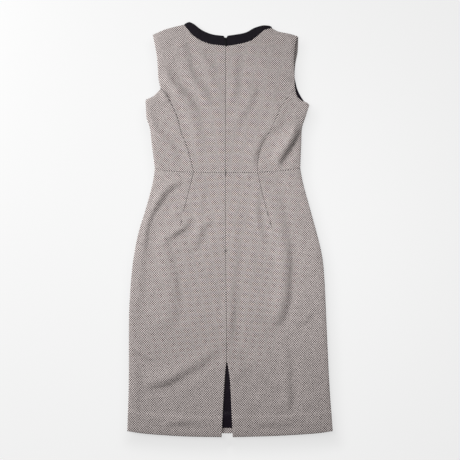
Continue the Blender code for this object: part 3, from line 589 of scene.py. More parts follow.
def lowered(line):
    """A back neckline dropped to the front's depth, which fades out towards the shoulders."""
    middle = (line[0, 0] + line[-1, 0]) / 2
    reach = np.clip(np.abs(line[:, 0] - middle) / (line[-1, 0] - middle), 0, 1)
    return line - np.column_stack([np.zeros(len(line)), FRONT_NECK_DROP * (1 - reach ** 2)])


def waist():
    """The waist seam from the left side to the right one."""
    return joined(through(LEFT.waist_side), through(LEFT.waist_middle), through(RIGHT.waist_middle)[::-1],
                  through(RIGHT.waist_side)[::-1])


def back_hem():
    return joined(through(LEFT.hem), through(RIGHT.hem)[::-1])


def stations(length, step):
    """Shares of a line's length at which a grid stands: `step` apart, and close together by both ends."""
    edge = EDGE_STATIONS / length
    inner = np.linspace(edge[-1], 1 - edge[-1], max(2, round((length - 2 * EDGE_STATIONS[-1]) / step)) + 1)
    return np.concatenate([edge[:-1], inner, (1 - edge[:-1])[::-1]])


# ---- How the back lies -------------------------------------------------------------------------------
def nearest(places, line):
    """Distance from each place to a line, positive on the line's left, and the share of its length there."""
    best = np.full(len(places), np.inf)
    side = np.ones(len(places))
    share = np.zeros(len(places))
    for index, (start, end) in enumerate(zip(line[:-1], line[1:])):
        step = end - start
        away = places - start
        along = np.clip(away @ step / (step @ step), 0, 1)
        rest = away - along[:, None] * step
        distance = np.hypot(rest[:, 0], rest[:, 1])
        closer = distance < best
        best[closer] = distance[closer]
        side[closer] = np.where(step[0] * rest[closer, 1] < step[1] * rest[closer, 0], -1, 1)
        share[closer] = (index + along[closer]) / (len(line) - 1)
    return best * side, share


def soft_step(value):
    """0 below 0, 1 above 1, and a soft rise between."""
    value = np.clip(value, 0, 1)
    return value * value * (3 - 2 * value)


def turned_up(places, hem):
    """1 in a turned-up hem and 0 above it."""
    above_hem = places[:, 1] - np.interp(places[:, 0], hem[:, 0], hem[:, 1])
    return soft_step((HEM_TURN - above_hem) / HEM_STEP + 0.5)


def closed_edge(half):
    """The half's edge that comes down to the front: hem, side, armhole and shoulder."""
    return spaced(joined(through(half.hem)[::-1], through(side_of(half, SIDE_SEAMS)),
                         through(side_of(half, FLANKS)), through(half.underarm), through(half.armhole),
                         through(half.shoulder)), 110)


def facing_lift(places):
    """How much the right armhole's facing lifts the back that lies on it."""
    away = np.abs(nearest(places, spaced(through(FRONT_ARMHOLE_RIGHT[:FACED_STITCHES]), 8))[0])
    return (FACING + LAYER_GAP) * soft_step((FACING_WIDTH + EDGE_ROLL - away) / EDGE_ROLL)


def fold_height(places, fold):
    """Height of one fold: steepest on its path, a crest on one side and a trough on the other."""
    path = spaced(through(fold.path), 24)
    reach = 3 * max(fold.high_side, fold.low_side)
    line = path[:, :2]
    inside = np.all((places > line.min(axis=0) - reach) & (places < line.max(axis=0) + reach), axis=1)
    height = np.zeros(len(places))
    away, share = nearest(places[inside], line)
    slope = np.interp(share, np.linspace(0, 1, len(path)), path[:, 2])
    width = np.where(away > 0, fold.high_side, fold.low_side)
    height[inside] = slope * away * np.exp(-(away / width) ** 2)
    return height


def waves_height(places):
    """The soft unevenness of cloth that was smoothed out by hand, with small puckers by the zip."""
    height = np.zeros(len(places))
    for wave in WAVES:
        run = places @ np.array([cos(radians(wave.heading)), sin(radians(wave.heading))])
        swell = np.sin(places[:, 0] / 67 + wave.phase) * np.sin(places[:, 1] / 91 - wave.phase)
        height += wave.height * (1 + 0.5 * swell) * np.sin(2 * pi * run / wave.length + wave.phase)
    across, up = places.T
    by_zip = np.exp(-((across - CENTRE) / PUCKER_REACH) ** 2) * soft_step((up - ZIP_END + 30) / 40)
    pucker = 0.6 + 0.4 * np.sin(up / 53)
    return height + PUCKER_HEIGHT * by_zip * pucker * np.sin(up / PUCKER_PITCH + 1.8 * np.sin(up / 37))


def outer_face(places):
    """Height of the back's outer face over the surface, at each x and y, in millimetres."""
    edge = np.min([np.abs(nearest(places, closed_edge(half))[0]) for half in (LEFT, RIGHT)], axis=0)
    edge = np.clip((edge - SEAM_GAP) / EDGE_ROLL, 0, 1)
    roll = np.sqrt(1 - (1 - edge) ** 2.5)
    height = CLOTH + LAYER_GAP + CLOTH + LOFT * roll + facing_lift(places) * (1 - roll)
    height = height + turned_up(places, back_hem()) * CLOTH * (2 - roll)
    folds = sum(fold_height(places, fold) for fold in FOLDS) + waves_height(places)
    folds = np.where(folds < 0, -DEEPEST * np.tanh(-folds / DEEPEST), folds)
    return height + folds * soft_step(edge)


def shaded_seams():
    """The back's seams, by their names in the table of shades."""
    up_to_waist = np.array([(CENTRE, LEFT.waist_middle[-1].y), (CENTRE, NECK_SEAM)])
    seams = {"waist": waist(), "centre": joined(through(CENTRE_SKIRT), up_to_waist)}
    for half in (LEFT, RIGHT):
        seams[f"dart_{half.name}"] = through(half.dart)
        seams[f"princess_{half.name}"] = through(side_of(half, PRINCESS_SEAMS))
    return seams


def painted_seam_shade(places):
    """Painted shade at each place, from 0 to 1: in the seams, along the waist tuck and where strain draws
    the centre seam open.
    """
    depth = np.zeros(len(places))
    for name, seam in shaded_seams().items():
        first, last = SEAM_PAINTED_SHADES[name]
        away, share = nearest(places, spaced(seam, 50))
        shade = (first + (last - first) * share) * np.clip(1 - np.abs(away) / SEAM_SHADE_REACH, 0, 1)
        depth = np.maximum(depth, shade)
    # Painted shade along the deep tuck at the waist, strongest where the tuck is steepest.
    tuck = spaced(through(WAIST_TUCK.path), 24)
    away, share = nearest(places, tuck[:, :2])
    steep = np.interp(share, np.linspace(0, 1, len(tuck)), tuck[:, 2])
    depth = np.maximum(depth, TUCK_SHADE * steep * np.clip(1 - (away / TUCK_REACH) ** 2, 0, 1))
    across = places[:, 0] - CENTRE
    # Painted shade where strain draws the centre seam open.
    for height, width, length in STRAIN_SHADES:
        strain_shade = np.exp(-(across / width) ** 2 - ((places[:, 1] - height) / length) ** 2)
        depth = np.maximum(depth, strain_shade)
    return depth


def painted_floor_shadow(places):
    """Painted shadow on the floor beside the dress, mostly below and right of it, as a share of the floor's
    glow that it takes away.
    """
    around = joined(closed_edge(LEFT), through(LEFT.band_end), through(LEFT.band_top),
                    through(RIGHT.band_top)[::-1], through(RIGHT.band_end)[::-1], closed_edge(RIGHT)[::-1])
    away = nearest(places - FLOOR_SHADE_SHIFT, spaced(around, 240))[0]
    return FLOOR_PAINTED_SHADOW * (1 - soft_step(away / FLOOR_SHADE_REACH + FLOOR_SHADE_START))


def back_hem_wall(places):
    """How thick the back skirt is at each place: twice the cloth where its hem is turned up."""
    return CLOTH * (1 + turned_up(places, back_hem()))


def front_hem_wall(places):
    """How thick the front skirt is at each place."""
    return CLOTH * (1 + turned_up(places, through(FRONT_HEM)))


# ---- Shells ------------------------------------------------------------------------------------------
def patch(bottom, right, top, left, across, up):
    """Places of a grid between four seam lines; across and up are the shares where it stands."""
    low, high, west, east = (placed(line, shares) for line, shares in
                             ((bottom, across), (top, across), (left, up), (right, up)))
    u = across[None, :, None]
    v = up[:, None, None]
    return ((1 - v) * low[None] + v * high[None] + (1 - u) * west[:, None] + u * east[:, None]
            - (1 - u) * (1 - v) * low[0] - u * (1 - v) * low[-1] - (1 - u) * v * high[0] - u * v * high[-1])


def drawn_in(grid, distance):
    """The grid with its border moved inwards, so that a panel clears its neighbours at the seams."""
    grid = grid.copy()
    for border, inner in ((np.s_[0], np.s_[1]), (np.s_[-1], np.s_[-2]), (np.s_[:, 0], np.s_[:, 1]),
                          (np.s_[:, -1], np.s_[:, -2])):
        run = grid[inner] - grid[border]
        grid[border] += run / np.hypot(*run.T).T[:, None] * distance
    return grid


def edge_distance(grid):
    """How far each place of a grid is from the nearest of its four borders."""
    borders = (grid[:1], grid[-1:], grid[:, :1], grid[:, -1:])
    return np.min([np.linalg.norm(grid - line, axis=2) for line in borders], axis=0).ravel()


def linked(name, data):
    """A new object for the data, in the scene."""
    item = bpy.data.objects.new(name, data)
    bpy.context.scene.collection.objects.link(item)
    return item


def grid_faces(rows, columns):
    """The numbers of a grid's points, and its faces as four of them each."""
    index = np.arange(rows * columns).reshape(rows, columns)
    corners = [index[:-1, :-1], index[:-1, 1:], index[1:, 1:], index[1:, :-1]]
    return index, np.stack(corners, axis=-1).reshape(-1, 4)


def rounded(distance, radius=SHOULDER, depth=None):
    """How far a rounded edge lies below the face at a distance from the edge."""
    inward = 1 - np.clip(distance / radius, 0, 1)
    return (radius if depth is None else depth) * (1 - np.sqrt(1 - inward ** 2))


def shell(name, grid, upper, lower, material, grain=0.0):
    """A closed thin shell on a grid of places, with heights for its two faces. All in millimetres."""
    places = grid.reshape(-1, 2)
    count = len(places)
    index, quads = grid_faces(*grid.shape[:2])
    rim = np.concatenate([index[0, :-1], index[:-1, -1], index[-1, :0:-1], index[:0:-1, 0]])
    after = np.roll(rim, -1)
    wall = np.column_stack([rim, rim + count, after + count, after])
    faces = np.vstack([quads, quads[:, ::-1] + count, wall])
    verts = np.vstack([np.column_stack([places, upper]), np.column_stack([places, lower])]) * MM
    mesh = bpy.data.meshes.new(name)
    mesh.from_pydata(verts.tolist(), [], faces.tolist())
    a, b, c = (places[quads[:, column]] for column in (0, 1, 3))
    if np.any(np.cross(b - a, c - a) <= 0):
        raise RuntimeError(f"{name}: the grid folds over itself")
    return finished(name, mesh, material, grain)


def finished(name, mesh, material, grain=0.0):
    """An object for a mesh: the cloth's own place as a UV map in metres, soft shading and its material."""
    place = np.empty(len(mesh.vertices) * 3)
    mesh.vertices.foreach_get("co", place)
    flat = place.reshape(-1, 3)[:, :2]
    turn = radians(grain)
    along = np.column_stack([flat @ [cos(turn), sin(turn)], flat @ [-sin(turn), cos(turn)]])
    corner = np.empty(len(mesh.loops), dtype=np.int32)
    mesh.loops.foreach_get("vertex_index", corner)
    mesh.uv_layers.new(name="cloth").data.foreach_set("uv", along[corner].ravel())
    mesh.shade_smooth()
    mesh.set_sharp_from_angle(angle=radians(50))
    mesh.materials.clear()
    mesh.materials.append(material)
    return linked(name, mesh)


def store_painted_shade(piece, depth):
    """Store on a piece the painted shade of each of its points: in a seam, along a crease or under an
    overhanging edge.
    """
    piece.data.attributes.new("painted_shade", "FLOAT", "POINT").data.foreach_set("value", depth)


def cut_flat(name, wall, edge, *loops):
    """A flat mesh with the outline of the first loop, holes of the rest, rounded edges, and z from 0 up."""
    curve = bpy.data.curves.new(name, "CURVE")
    curve.dimensions = "2D"
    curve.fill_mode = "BOTH"
    curve.extrude = (wall / 2 - edge) * MM
    curve.bevel_depth = edge * MM
    curve.bevel_resolution = 2
    curve.offset = -edge * MM
    for loop in loops:
        spline = curve.splines.new("POLY")
        spline.points.add(len(loop) - 1)
        for point, place in zip(spline.points, loop):
            point.co = (place[0] * MM, place[1] * MM, 0, 1)
        spline.use_cyclic_u = True
    item = linked(name, curve)
    bpy.context.view_layer.update()
    data = bpy.data.meshes.new_from_object(item.evaluated_get(bpy.context.evaluated_depsgraph_get()))
    bpy.data.objects.remove(item, do_unlink=True)
    mesh = bmesh.new()
    mesh.from_mesh(data)
    bmesh.ops.remove_doubles(mesh, verts=mesh.verts, dist=1e-7)
    bmesh.ops.translate(mesh, vec=(0, 0, wall / 2 * MM), verts=mesh.verts)
    bmesh.ops.recalc_face_normals(mesh, faces=mesh.faces)
    mesh.to_mesh(data)
    mesh.free()
    return data


def declare(piece, node, slot, size, area, rests_on):
    """Hide the solid that the piece stands for and let the piece ride on the dress. The flat cloth's size
    and area are not used.
    """
    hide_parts(node)
    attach(piece, "dress")


def flat_cut(outline, turn=0.0):
    """The size in metres of the flat piece that an outline was cut from, and its area, with its hem."""
    width, length = (outline.max(axis=0) - outline.min(axis=0)) * MM
    x, y = outline.T
    area = abs(np.dot(x, np.roll(y, -1)) - np.dot(y, np.roll(x, -1))) / 2 * MM * MM
    return (width, length + turn * MM), area + width * turn * MM * TURNED_SHARE


def flat_strip(outline, run):
    """The size in metres of the straight strip that a band was cut from, along its seam, and its area."""
    area = flat_cut(outline)[1]
    length = length_along(run)[-1] * MM
    return (length, area / length), area


def border(grid):
    """The outline of a grid."""
    return np.vstack([grid[0, :-1], grid[:-1, -1], grid[-1, :0:-1], grid[:0:-1, 0]])


def back_panel(name, half, outer, inner, low, high, step, material, slot, wall=None, rise=0.0, grain=0.0,
               dart=None, turn=0.0):
    """A panel of one half of the back, under its outer face. outer and inner run up, low and high across."""
    if half is LEFT:
        bottom, right, top, left = low, inner, high, outer
    else:
        bottom, right, top, left = low[::-1], outer, high[::-1], inner
    up = stations(length_along(left)[-1], step)
    if dart is None:
        grid = patch(bottom, right, top, left, stations(length_along(bottom)[-1], step), up)
        by_dart = np.full(grid[..., 0].size, np.inf)
    else:
        grid, by_dart = darted_grid(bottom, right, top, left, dart, step, up)
    grid = drawn_in(grid, SEWN_GAP / 2)
    places = grid.reshape(-1, 2)
    face = outer_face(places) + rise
    edge = edge_distance(grid)
    beyond = (np.minimum(edge, by_dart) - ALLOWANCE) / ALLOWANCE_SLOPE
    lift = ALLOWANCE_LIFT * (1 - soft_step(beyond))
    drop = np.maximum(rounded(edge), rounded(by_dart, depth=SHOULDER * 0.9))
    thickness = CLOTH + rise if wall is None else wall(places)
    node = f"back_{name}_{half.name}"
    top = face + (lift if rise == 0 else 0) - drop
    piece = shell(f"{node}_cloth", grid, top, face - thickness, material, grain * half.side)
    # Painted shade on the outer face, in its seams and along the tuck; none on the face underneath.
    store_painted_shade(piece, np.concatenate([painted_seam_shade(places), np.zeros(len(places))]))
    size, area = flat_cut(border(grid), turn) if rise == 0 else flat_strip(border(grid), low)
    below = "front_skirt_cloth" if "skirt" in name else "front_bodice_cloth"
    declare(piece, node, slot, size, area, [below])
    return piece


def darted_grid(bottom, right, top, left, dart, step, up):
    """Two grids that share a column along a dart and on to the hem, and each place's distance from it."""
    column = through(dart)
    shares = [share_at(line, column[end]) for line, end in ((bottom, 0), (top, -1))]
    west = patch(part_of(bottom, 0, shares[0]), column, part_of(top, 0, shares[1]), left,
                 stations(length_along(part_of(bottom, 0, shares[0]))[-1], step), up)
    east = patch(part_of(bottom, shares[0], 1), right, part_of(top, shares[1], 1), column,
                 stations(length_along(part_of(bottom, shares[0], 1))[-1], step), up)
    grid = np.concatenate([west, east[:, 1:]], axis=1)
    seam = grid[:, west.shape[1] - 1]
    point = dart[2].y
    away = np.linalg.norm(grid - seam[:, None], axis=2)
    fade = np.clip((seam[:, 1] - point) / DART_FADE, 0, 1)[:, None]
    return grid, np.where(fade > 0, away / np.maximum(fade, 1e-3), np.inf).ravel()


def share_at(line, place):
    """The share of a line's length that is closest to a place."""
    run = length_along(line)
    distance = np.hypot(*(placed(line, np.linspace(0, 1, 400)) - place).T)
    return np.argmin(distance) / 399 if run[-1] else 0.0


def part_of(line, start, end):
    """The part of a line between two shares of its length."""
    return placed(line, np.linspace(start, end, 60))


# ---- Rows of stitches and teeth ----------------------------------------------------------------------
def make_row_tree():
    """Geometry Nodes: beads of one size in a row along a line, for stitches and for a zip's coil."""
    tree = bpy.data.node_groups.new("row_of_beads", "GeometryNodeTree")
    for label, kind in (("Line", "NodeSocketGeometry"), ("Pitch", "NodeSocketFloat"),
                        ("Size", "NodeSocketVector"), ("Material", "NodeSocketMaterial")):
        tree.interface.new_socket(label, in_out="INPUT", socket_type=kind)
    tree.interface.new_socket("Row", in_out="OUTPUT", socket_type="NodeSocketGeometry")
    given = tree.nodes.new("NodeGroupInput").outputs
    line = add_node(tree, "GeometryNodeMeshToCurve", {"Mesh": given["Line"]}).outputs["Curve"]
    upright = add_node(tree, "GeometryNodeSetCurveNormal", {"Curve": line}, mode="Z_UP").outputs["Curve"]
    points = add_node(tree, "GeometryNodeCurveToPoints", {"Curve": upright, "Length": given["Pitch"]},
                      mode="LENGTH").outputs
    bead = add_node(tree, "GeometryNodeMeshUVSphere", {"Segments": 6, "Rings": 5, "Radius": 0.5})
    row = add_node(tree, "GeometryNodeInstanceOnPoints",
                   {"Points": points["Points"], "Instance": bead.outputs["Mesh"],
                    "Rotation": points["Rotation"], "Scale": given["Size"]})
    real = add_node(tree, "GeometryNodeRealizeInstances", {"Geometry": row.outputs[0]})
    soft = add_node(tree, "GeometryNodeSetShadeSmooth", {"Geometry": real.outputs[0]})
    dressed = add_node(tree, "GeometryNodeSetMaterial", {"Geometry": soft.outputs[0],
                                                         "Material": given["Material"]})
    tree.links.new(dressed.outputs[0], tree.nodes.new("NodeGroupOutput").inputs[0])
    return tree


def row_of_beads(name, lines, pitch, size, material):
    """Beads along lines of x, y and z in millimetres, as one plain mesh."""
    tree = bpy.data.node_groups.get("row_of_beads") or make_row_tree()
    sockets = {item.name: item.identifier for item in tree.interface.items_tree if item.in_out == "INPUT"}
    verts = np.vstack(lines) * MM
    edges = []
    start = 0
    for line in lines:
        edges += [(index, index + 1) for index in range(start, start + len(line) - 1)]
        start += len(line)
    mesh = bpy.data.meshes.new(name)
    mesh.from_pydata(verts.tolist(), edges, [])
    guide = linked(name, mesh)
    modifier = guide.modifiers.new("row", "NODES")
    modifier.node_group = tree
    modifier[sockets["Pitch"]] = pitch
    modifier[sockets["Size"]] = size
    modifier[sockets["Material"]] = material
    bpy.context.view_layer.update()
    made = bpy.data.meshes.new_from_object(guide.evaluated_get(bpy.context.evaluated_depsgraph_get()))
    bpy.data.objects.remove(guide, do_unlink=True)
    made.name = name
    return linked(name, made)


def on_face(line, depth, step=4.0):
    """A flat line laid on the back's outer face, sunk by a depth, as x, y and z."""
    line = spaced(line, max(2, round(length_along(line)[-1] / step)))
    return np.column_stack([line, outer_face(line) - depth])


# ---- Settings ----------------------------------------------------------------------------------------
def a_length(name, description, default, precision=4):
    """A setting in metres."""
    return FloatProperty(name=name, description=description, default=default, precision=precision,
                         unit="LENGTH")


def a_colour(name, description, default):
    """A setting that is a colour."""
    return FloatVectorProperty(name=name, description=description, subtype="COLOR", default=default,
                               min=0, max=1)


class SuitingSettings(bpy.types.PropertyGroup):
    """The two-colour suiting."""
    repeat_across: a_length("Repeat across", "Width of one repeat of the check", 0.00555, 5)
    repeat_along: a_length("Repeat along", "Height of one repeat of the check", 0.0058)
    yarns: IntProperty(name="Yarns", description="Yarns side by side in one block of the check", default=3,
                       min=1, max=6)
    wander: a_length("Wander", "How far the weave strays from its straight lines", 0.0012)
    fray: FloatProperty(name="Fray", description="How far fibres of one colour stray over the other",
                        default=1.6)
    relief: a_length("Relief", "How far a float stands over the yarn that it crosses", 0.00025, 5)
    light_yarn: a_colour("Light yarn", "Colour of the light warp", (0.90, 0.806, 0.782))
    dark_yarn: a_colour("Dark yarn", "Colour of the dark weft", (0.022, 0.012, 0.011))
    grid_step: a_length("Grid step", "Distance between the points of the back's cloth", 0.003)
    grain_tilt: FloatProperty(name="Grain tilt", description="How far the grain leans outwards at the hem",
                              default=radians(1.2), subtype="ANGLE")


class TrimSettings(bpy.types.PropertyGroup):
    """The black neckband, lining, facing and zip."""
    band_colour: a_colour("Neckband", "Colour of the neckband", (0.0063, 0.0040, 0.0087))
    lining_colour: a_colour("Lining", "Colour of the lining", (0.0070, 0.0030, 0.0089))
    metal_colour: a_colour("Zip metal", "Colour of the slider and pull", (0.02, 0.02, 0.022))
    band_pitch: a_length("Crepe pitch", "Distance between yarns of the neckband", 0.0006, 5)
    lining_pitch: a_length("Lining pitch", "Distance between yarns of the lining", 0.0003, 5)


class SewingSettings(bpy.types.PropertyGroup):
    """The sewing and the zip's coil."""
    stitch_pitch: a_length("Stitch pitch", "Distance between two stitches", 0.0026)
    stitch_length: a_length("Stitch length", "Length of one stitch", 0.0021)
    thread_width: a_length("Thread", "Width of the sewing thread", 0.0004, 5)
    thread_colour: a_colour("Thread colour", "Colour of the sewing thread", (0.06, 0.05, 0.05))
    tooth_pitch: a_length("Tooth pitch", "Distance between two turns of the zip's coil", 0.0016)


class StageSettings(bpy.types.PropertyGroup):
    """The floor, the light and the camera."""
    floor_colour: a_colour("Floor", "Colour of the floor", (0.16, 0.16, 0.16))
    floor_glow: FloatProperty(name="Floor glow", description="Light that comes up through the floor",
                              default=0.765)
    key_power: FloatProperty(name="Key light", description="Power of the raking light", default=38.0,
                             unit="POWER")
    key_heading: FloatProperty(name="Key heading", description="Where the raking light stands, from +X",
                               default=radians(158), subtype="ANGLE")
    key_height: FloatProperty(name="Key height", description="The raking light's height as an angle",
                              default=radians(31), subtype="ANGLE")
    top_power: FloatProperty(name="Top light", description="Power of the light above", default=2.68,
                             unit="POWER")
    fill: FloatProperty(name="Fill", description="Strength of the light from all round", default=0.13)
    backdrop: FloatProperty(name="Backdrop", description="How pale the backdrop looks", default=0.88)
    tilt: FloatProperty(name="Camera tilt", description="How far the camera leans from straight above",
                        default=radians(7), subtype="ANGLE")
    distance: FloatProperty(name="Camera distance", description="From the middle of the dress", default=2.0,
                            unit="LENGTH")


# ---- Operators ---------------------------------------------------------------------------------------
def suiting():
    """The suiting, made the first time that it is asked for."""
    return bpy.data.materials.get("wool_check") or make_suiting(bpy.context.scene.suiting)


def black_cloth(name, colour, pitch, relief, roughness, sheen):
    """One of the black cloths, made the first time that it is asked for."""
    made = bpy.data.materials.get(name)
    weave = bpy.data.node_groups.get("plain_weave") or make_plain_weave()
    return made or make_black_cloth(name, colour, pitch, relief, roughness, sheen, weave)


def crepe():
    """The neckband's black cloth."""
    trim = bpy.context.scene.trim
    return black_cloth("black_crepe", trim.band_colour, trim.band_pitch, 0.00012, 0.75, 0.15)


def satin():
    """The black cloth of the lining and the facing."""
    trim = bpy.context.scene.trim
    return black_cloth("black_satin", trim.lining_colour, trim.lining_pitch, 0.00004, 0.42, 0.05)


class DRESS_OT_back_bodice(bpy.types.Operator):
    """Make the four panels of the back bodice"""
    bl_idname = "dress.back_bodice"
    bl_label = "Back bodice"

    def execute(self, context):
        look = context.scene.suiting
        step = look.grid_step / MM
        for half in (LEFT, RIGHT):
            princess = through(side_of(half, PRINCESS_SEAMS))
            centre = np.array([(CENTRE, half.waist_middle[-1].y), (CENTRE, NECK_SEAM)])
            back_panel("bodice_centre", half, joined(princess, through(half.armhole)), centre,
                       through(half.waist_middle), joined(through(half.shoulder), through(half.neck)), step,
                       suiting(), "suiting", grain=CENTRE_GRAIN)
            back_panel("bodice_side", half, through(side_of(half, FLANKS)), princess,
                       through(half.waist_side), through(half.underarm), step, suiting(), "suiting",
                       grain=FLANK_GRAIN)
        return {"FINISHED"}


class DRESS_OT_back_skirt(bpy.types.Operator):
    """Make the two back skirt panels, with their darts, vent and turned-up hem"""
    bl_idname = "dress.back_skirt"
    bl_label = "Back skirt"

    def execute(self, context):
        look = context.scene.suiting
        for half in (LEFT, RIGHT):
            back_panel("skirt", half, through(side_of(half, SIDE_SEAMS)),
                       joined(through(half.vent), through(CENTRE_SKIRT)), through(half.hem),
                       joined(through(half.waist_side), through(half.waist_middle)), look.grid_step / MM,
                       suiting(), "suiting", wall=back_hem_wall, grain=look.grain_tilt * 180 / pi,
                       dart=BELOW_DART[half.name] + half.dart, turn=HEM_TURN)
        return {"FINISHED"}


class DRESS_OT_neckband(bpy.types.Operator):
    """Make the two back halves and the front of the black neckband"""
    bl_idname = "dress.neckband"
    bl_label = "Neckband"

    def execute(self, context):
        for half in (LEFT, RIGHT):
            back_panel("neckband", half, through(half.band_end), np.array(half.band_close, dtype=float),
                       through(half.neck), through(half.band_top), 2.5, crepe(), "black_cloth",
                       rise=BAND_RISE)
        low, high = (spaced(lowered(neckline(side)), 60) for side in ("neck", "band_top"))
        outline = np.vstack([low, through(RIGHT.band_end)[1:-1], high[::-1],
                             through(LEFT.band_end)[-2:0:-1]])
        mesh = cut_flat("front_neckband", CLOTH, FRONT_EDGE, outline)
        band = finished("front_neckband_cloth", mesh, crepe())
        declare(band, "front_neckband", "black_cloth", *flat_strip(outline, low), ["floor"])
        return {"FINISHED"}


class DRESS_OT_front(bpy.types.Operator):
    """Make the front bodice and skirt, which lie flat under the back"""
    bl_idname = "dress.front"
    bl_label = "Front"

    def execute(self, context):
        armhole_left = spaced(joined(through(LEFT.underarm), through(LEFT.armhole)), 60)
        armhole_left[:, 0] += np.sin(np.linspace(0, pi, len(armhole_left))) * FRONT_SCOOP
        shoulder_right = through([FRONT_ARMHOLE_RIGHT[-1]] + RIGHT.shoulder[1:])
        outline = joined(spaced(waist(), 80), through(side_of(RIGHT, FLANKS)), through(FRONT_ARMHOLE_RIGHT),
                         shoulder_right, spaced(lowered(neckline()), 60)[::-1], through(LEFT.shoulder)[::-1],
                         armhole_left[::-1], through(side_of(LEFT, FLANKS))[::-1])[:-1]
        mesh = cut_flat("front_bodice", CLOTH, FRONT_EDGE, outline)
        bodice = finished("front_bodice_cloth", mesh, suiting())
        # Painted shadow on the front, under the back's right armhole edge.
        x, y = (np.array([vertex.co[:2] for vertex in mesh.vertices]) / MM).T
        low, high = ARMHOLE_SHADE_SPAN
        store_painted_shade(bodice, ARMHOLE_PAINTED_SHADOW * ((x > ARMHOLE_SHADE_FROM) & (y > low) & (y < high)))
        declare(bodice, "front_bodice", "suiting", *flat_cut(outline), ["floor"])
        left = through(side_of(LEFT, SIDE_SEAMS))
        hem = through(FRONT_HEM)
        grid = patch(hem, through(side_of(RIGHT, SIDE_SEAMS)), waist(), left,
                     stations(length_along(hem)[-1], FRONT_STEP),
                     stations(length_along(left)[-1], FRONT_STEP))
        grid = drawn_in(grid, SEWN_GAP / 2)
        edge = rounded(edge_distance(grid), FRONT_EDGE)
        top = front_hem_wall(grid.reshape(-1, 2)) - edge
        skirt = shell("front_skirt_cloth", grid, top, edge, suiting())
        declare(skirt, "front_skirt", "suiting", *flat_cut(border(grid), HEM_TURN), ["floor"])
        return {"FINISHED"}


class DRESS_OT_linings(bpy.types.Operator):
    """Make the skirt's lining, which shows in the vent, and the right armhole's facing"""
    bl_idname = "dress.linings"
    bl_label = "Linings"

    def execute(self, context):
        top = VENT_TOP + LINING_UNDER
        corners = [(LEFT.vent[1].x - LINING_UNDER, LINING_HEM), (RIGHT.vent[1].x + LINING_UNDER, LINING_HEM),
                   (CENTRE + LINING_UNDER, top), (CENTRE - LINING_UNDER, top)]
        south_west, south_east, north_east, north_west = (np.array(corner) for corner in corners)
        grid = patch(np.array([south_west, south_east]), np.array([south_east, north_east]),
                     np.array([north_west, north_east]), np.array([south_west, north_west]),
                     stations(south_east[0] - south_west[0], 2.5), stations(top - LINING_HEM, 4.0))
        places = grid.reshape(-1, 2)
        base = front_hem_wall(places) + LAYER_GAP
        ripple = 0.12 * np.sin(places[:, 0] / 3.1 + 0.8 * np.sin(places[:, 1] / 31))
        drop = rounded(edge_distance(grid), LINING_EDGE)
        lining = shell("skirt_lining_cloth", grid, base + LINING + ripple - drop, base, satin())
        declare(lining, "skirt_lining", "black_lining", *flat_cut(border(grid)), ["front_skirt_cloth"])
        outer = spaced(through(FRONT_ARMHOLE_RIGHT[:FACED_STITCHES]), 40)
        outline = np.vstack([outer - [SEAM_GAP, 0], outer[::-1] - [FACING_WIDTH - SEAM_GAP, 0]])
        data = cut_flat("facing", FACING, FACING_EDGE, outline)
        data.transform(Matrix.Translation((0, 0, (CLOTH + LAYER_GAP) * MM)))
        facing = finished("armhole_facing_cloth", data, satin())
        (length, _), area = flat_strip(outline, outer)
        declare(facing, "armhole_lining_right", "black_lining", (length, FACING_WIDTH * MM), area,
                ["front_bodice_cloth"])
        return {"FINISHED"}


def zip_metal():
    """The slider's and the pull's metal, made the first time that it is asked for."""
    return bpy.data.materials.get("lacquered_metal") or make_metal(bpy.context.scene.trim.metal_colour)


class DRESS_OT_zip(bpy.types.Operator):
    """Make the concealed zip: its tape and coil, its slider and its pull"""
    bl_idname = "dress.zip"
    bl_label = "Zip"

    def execute(self, context):
        sewing = context.scene.sewing
        low = ZIP_END - TAPE_TAIL
        high = SLIDER_Y - SLIDER_LENGTH / 2
        west, east = CENTRE - TAPE_WIDTH / 2, CENTRE + TAPE_WIDTH / 2
        grid = patch(np.array([(west, low), (east, low)]), np.array([(east, low), (east, high)]),
                     np.array([(west, high), (east, high)]), np.array([(west, low), (west, high)]),
                     stations(TAPE_WIDTH, 2.5), stations(high - low, 5.0))
        face = outer_face(grid.reshape(-1, 2)) - CLOTH - LAYER_GAP
        material = black_cloth("woven_tape", context.scene.trim.band_colour, 0.0005, 0.0001, 0.7, 0.05)
        drop = rounded(edge_distance(grid), TAPE_EDGE)
        tape = shell("zip_tape_cloth", grid, face - drop, face - TAPE, material)
        declare(tape, "zip_tape", "zip_tape", *flat_cut(border(grid)),
                ["front_bodice_cloth", "front_skirt_cloth"])
        run = np.arange(ZIP_END, high, 4.0)
        lines = []
        for side in (-1, 1):
            line = np.column_stack([np.full(len(run), CENTRE + side * COIL_APART), run])
            lines.append(np.column_stack([line, outer_face(line) - CLOTH - LAYER_GAP - TAPE - COIL_DEPTH]))
        coil = row_of_beads("zip_coil", lines, sewing.tooth_pitch, COIL_TURN, zip_metal())
        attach(coil, "dress")
        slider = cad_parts["zip_slider"]
        slider.data.materials.clear()
        slider.data.materials.append(zip_metal())
        make_pull()
        return {"FINISHED"}


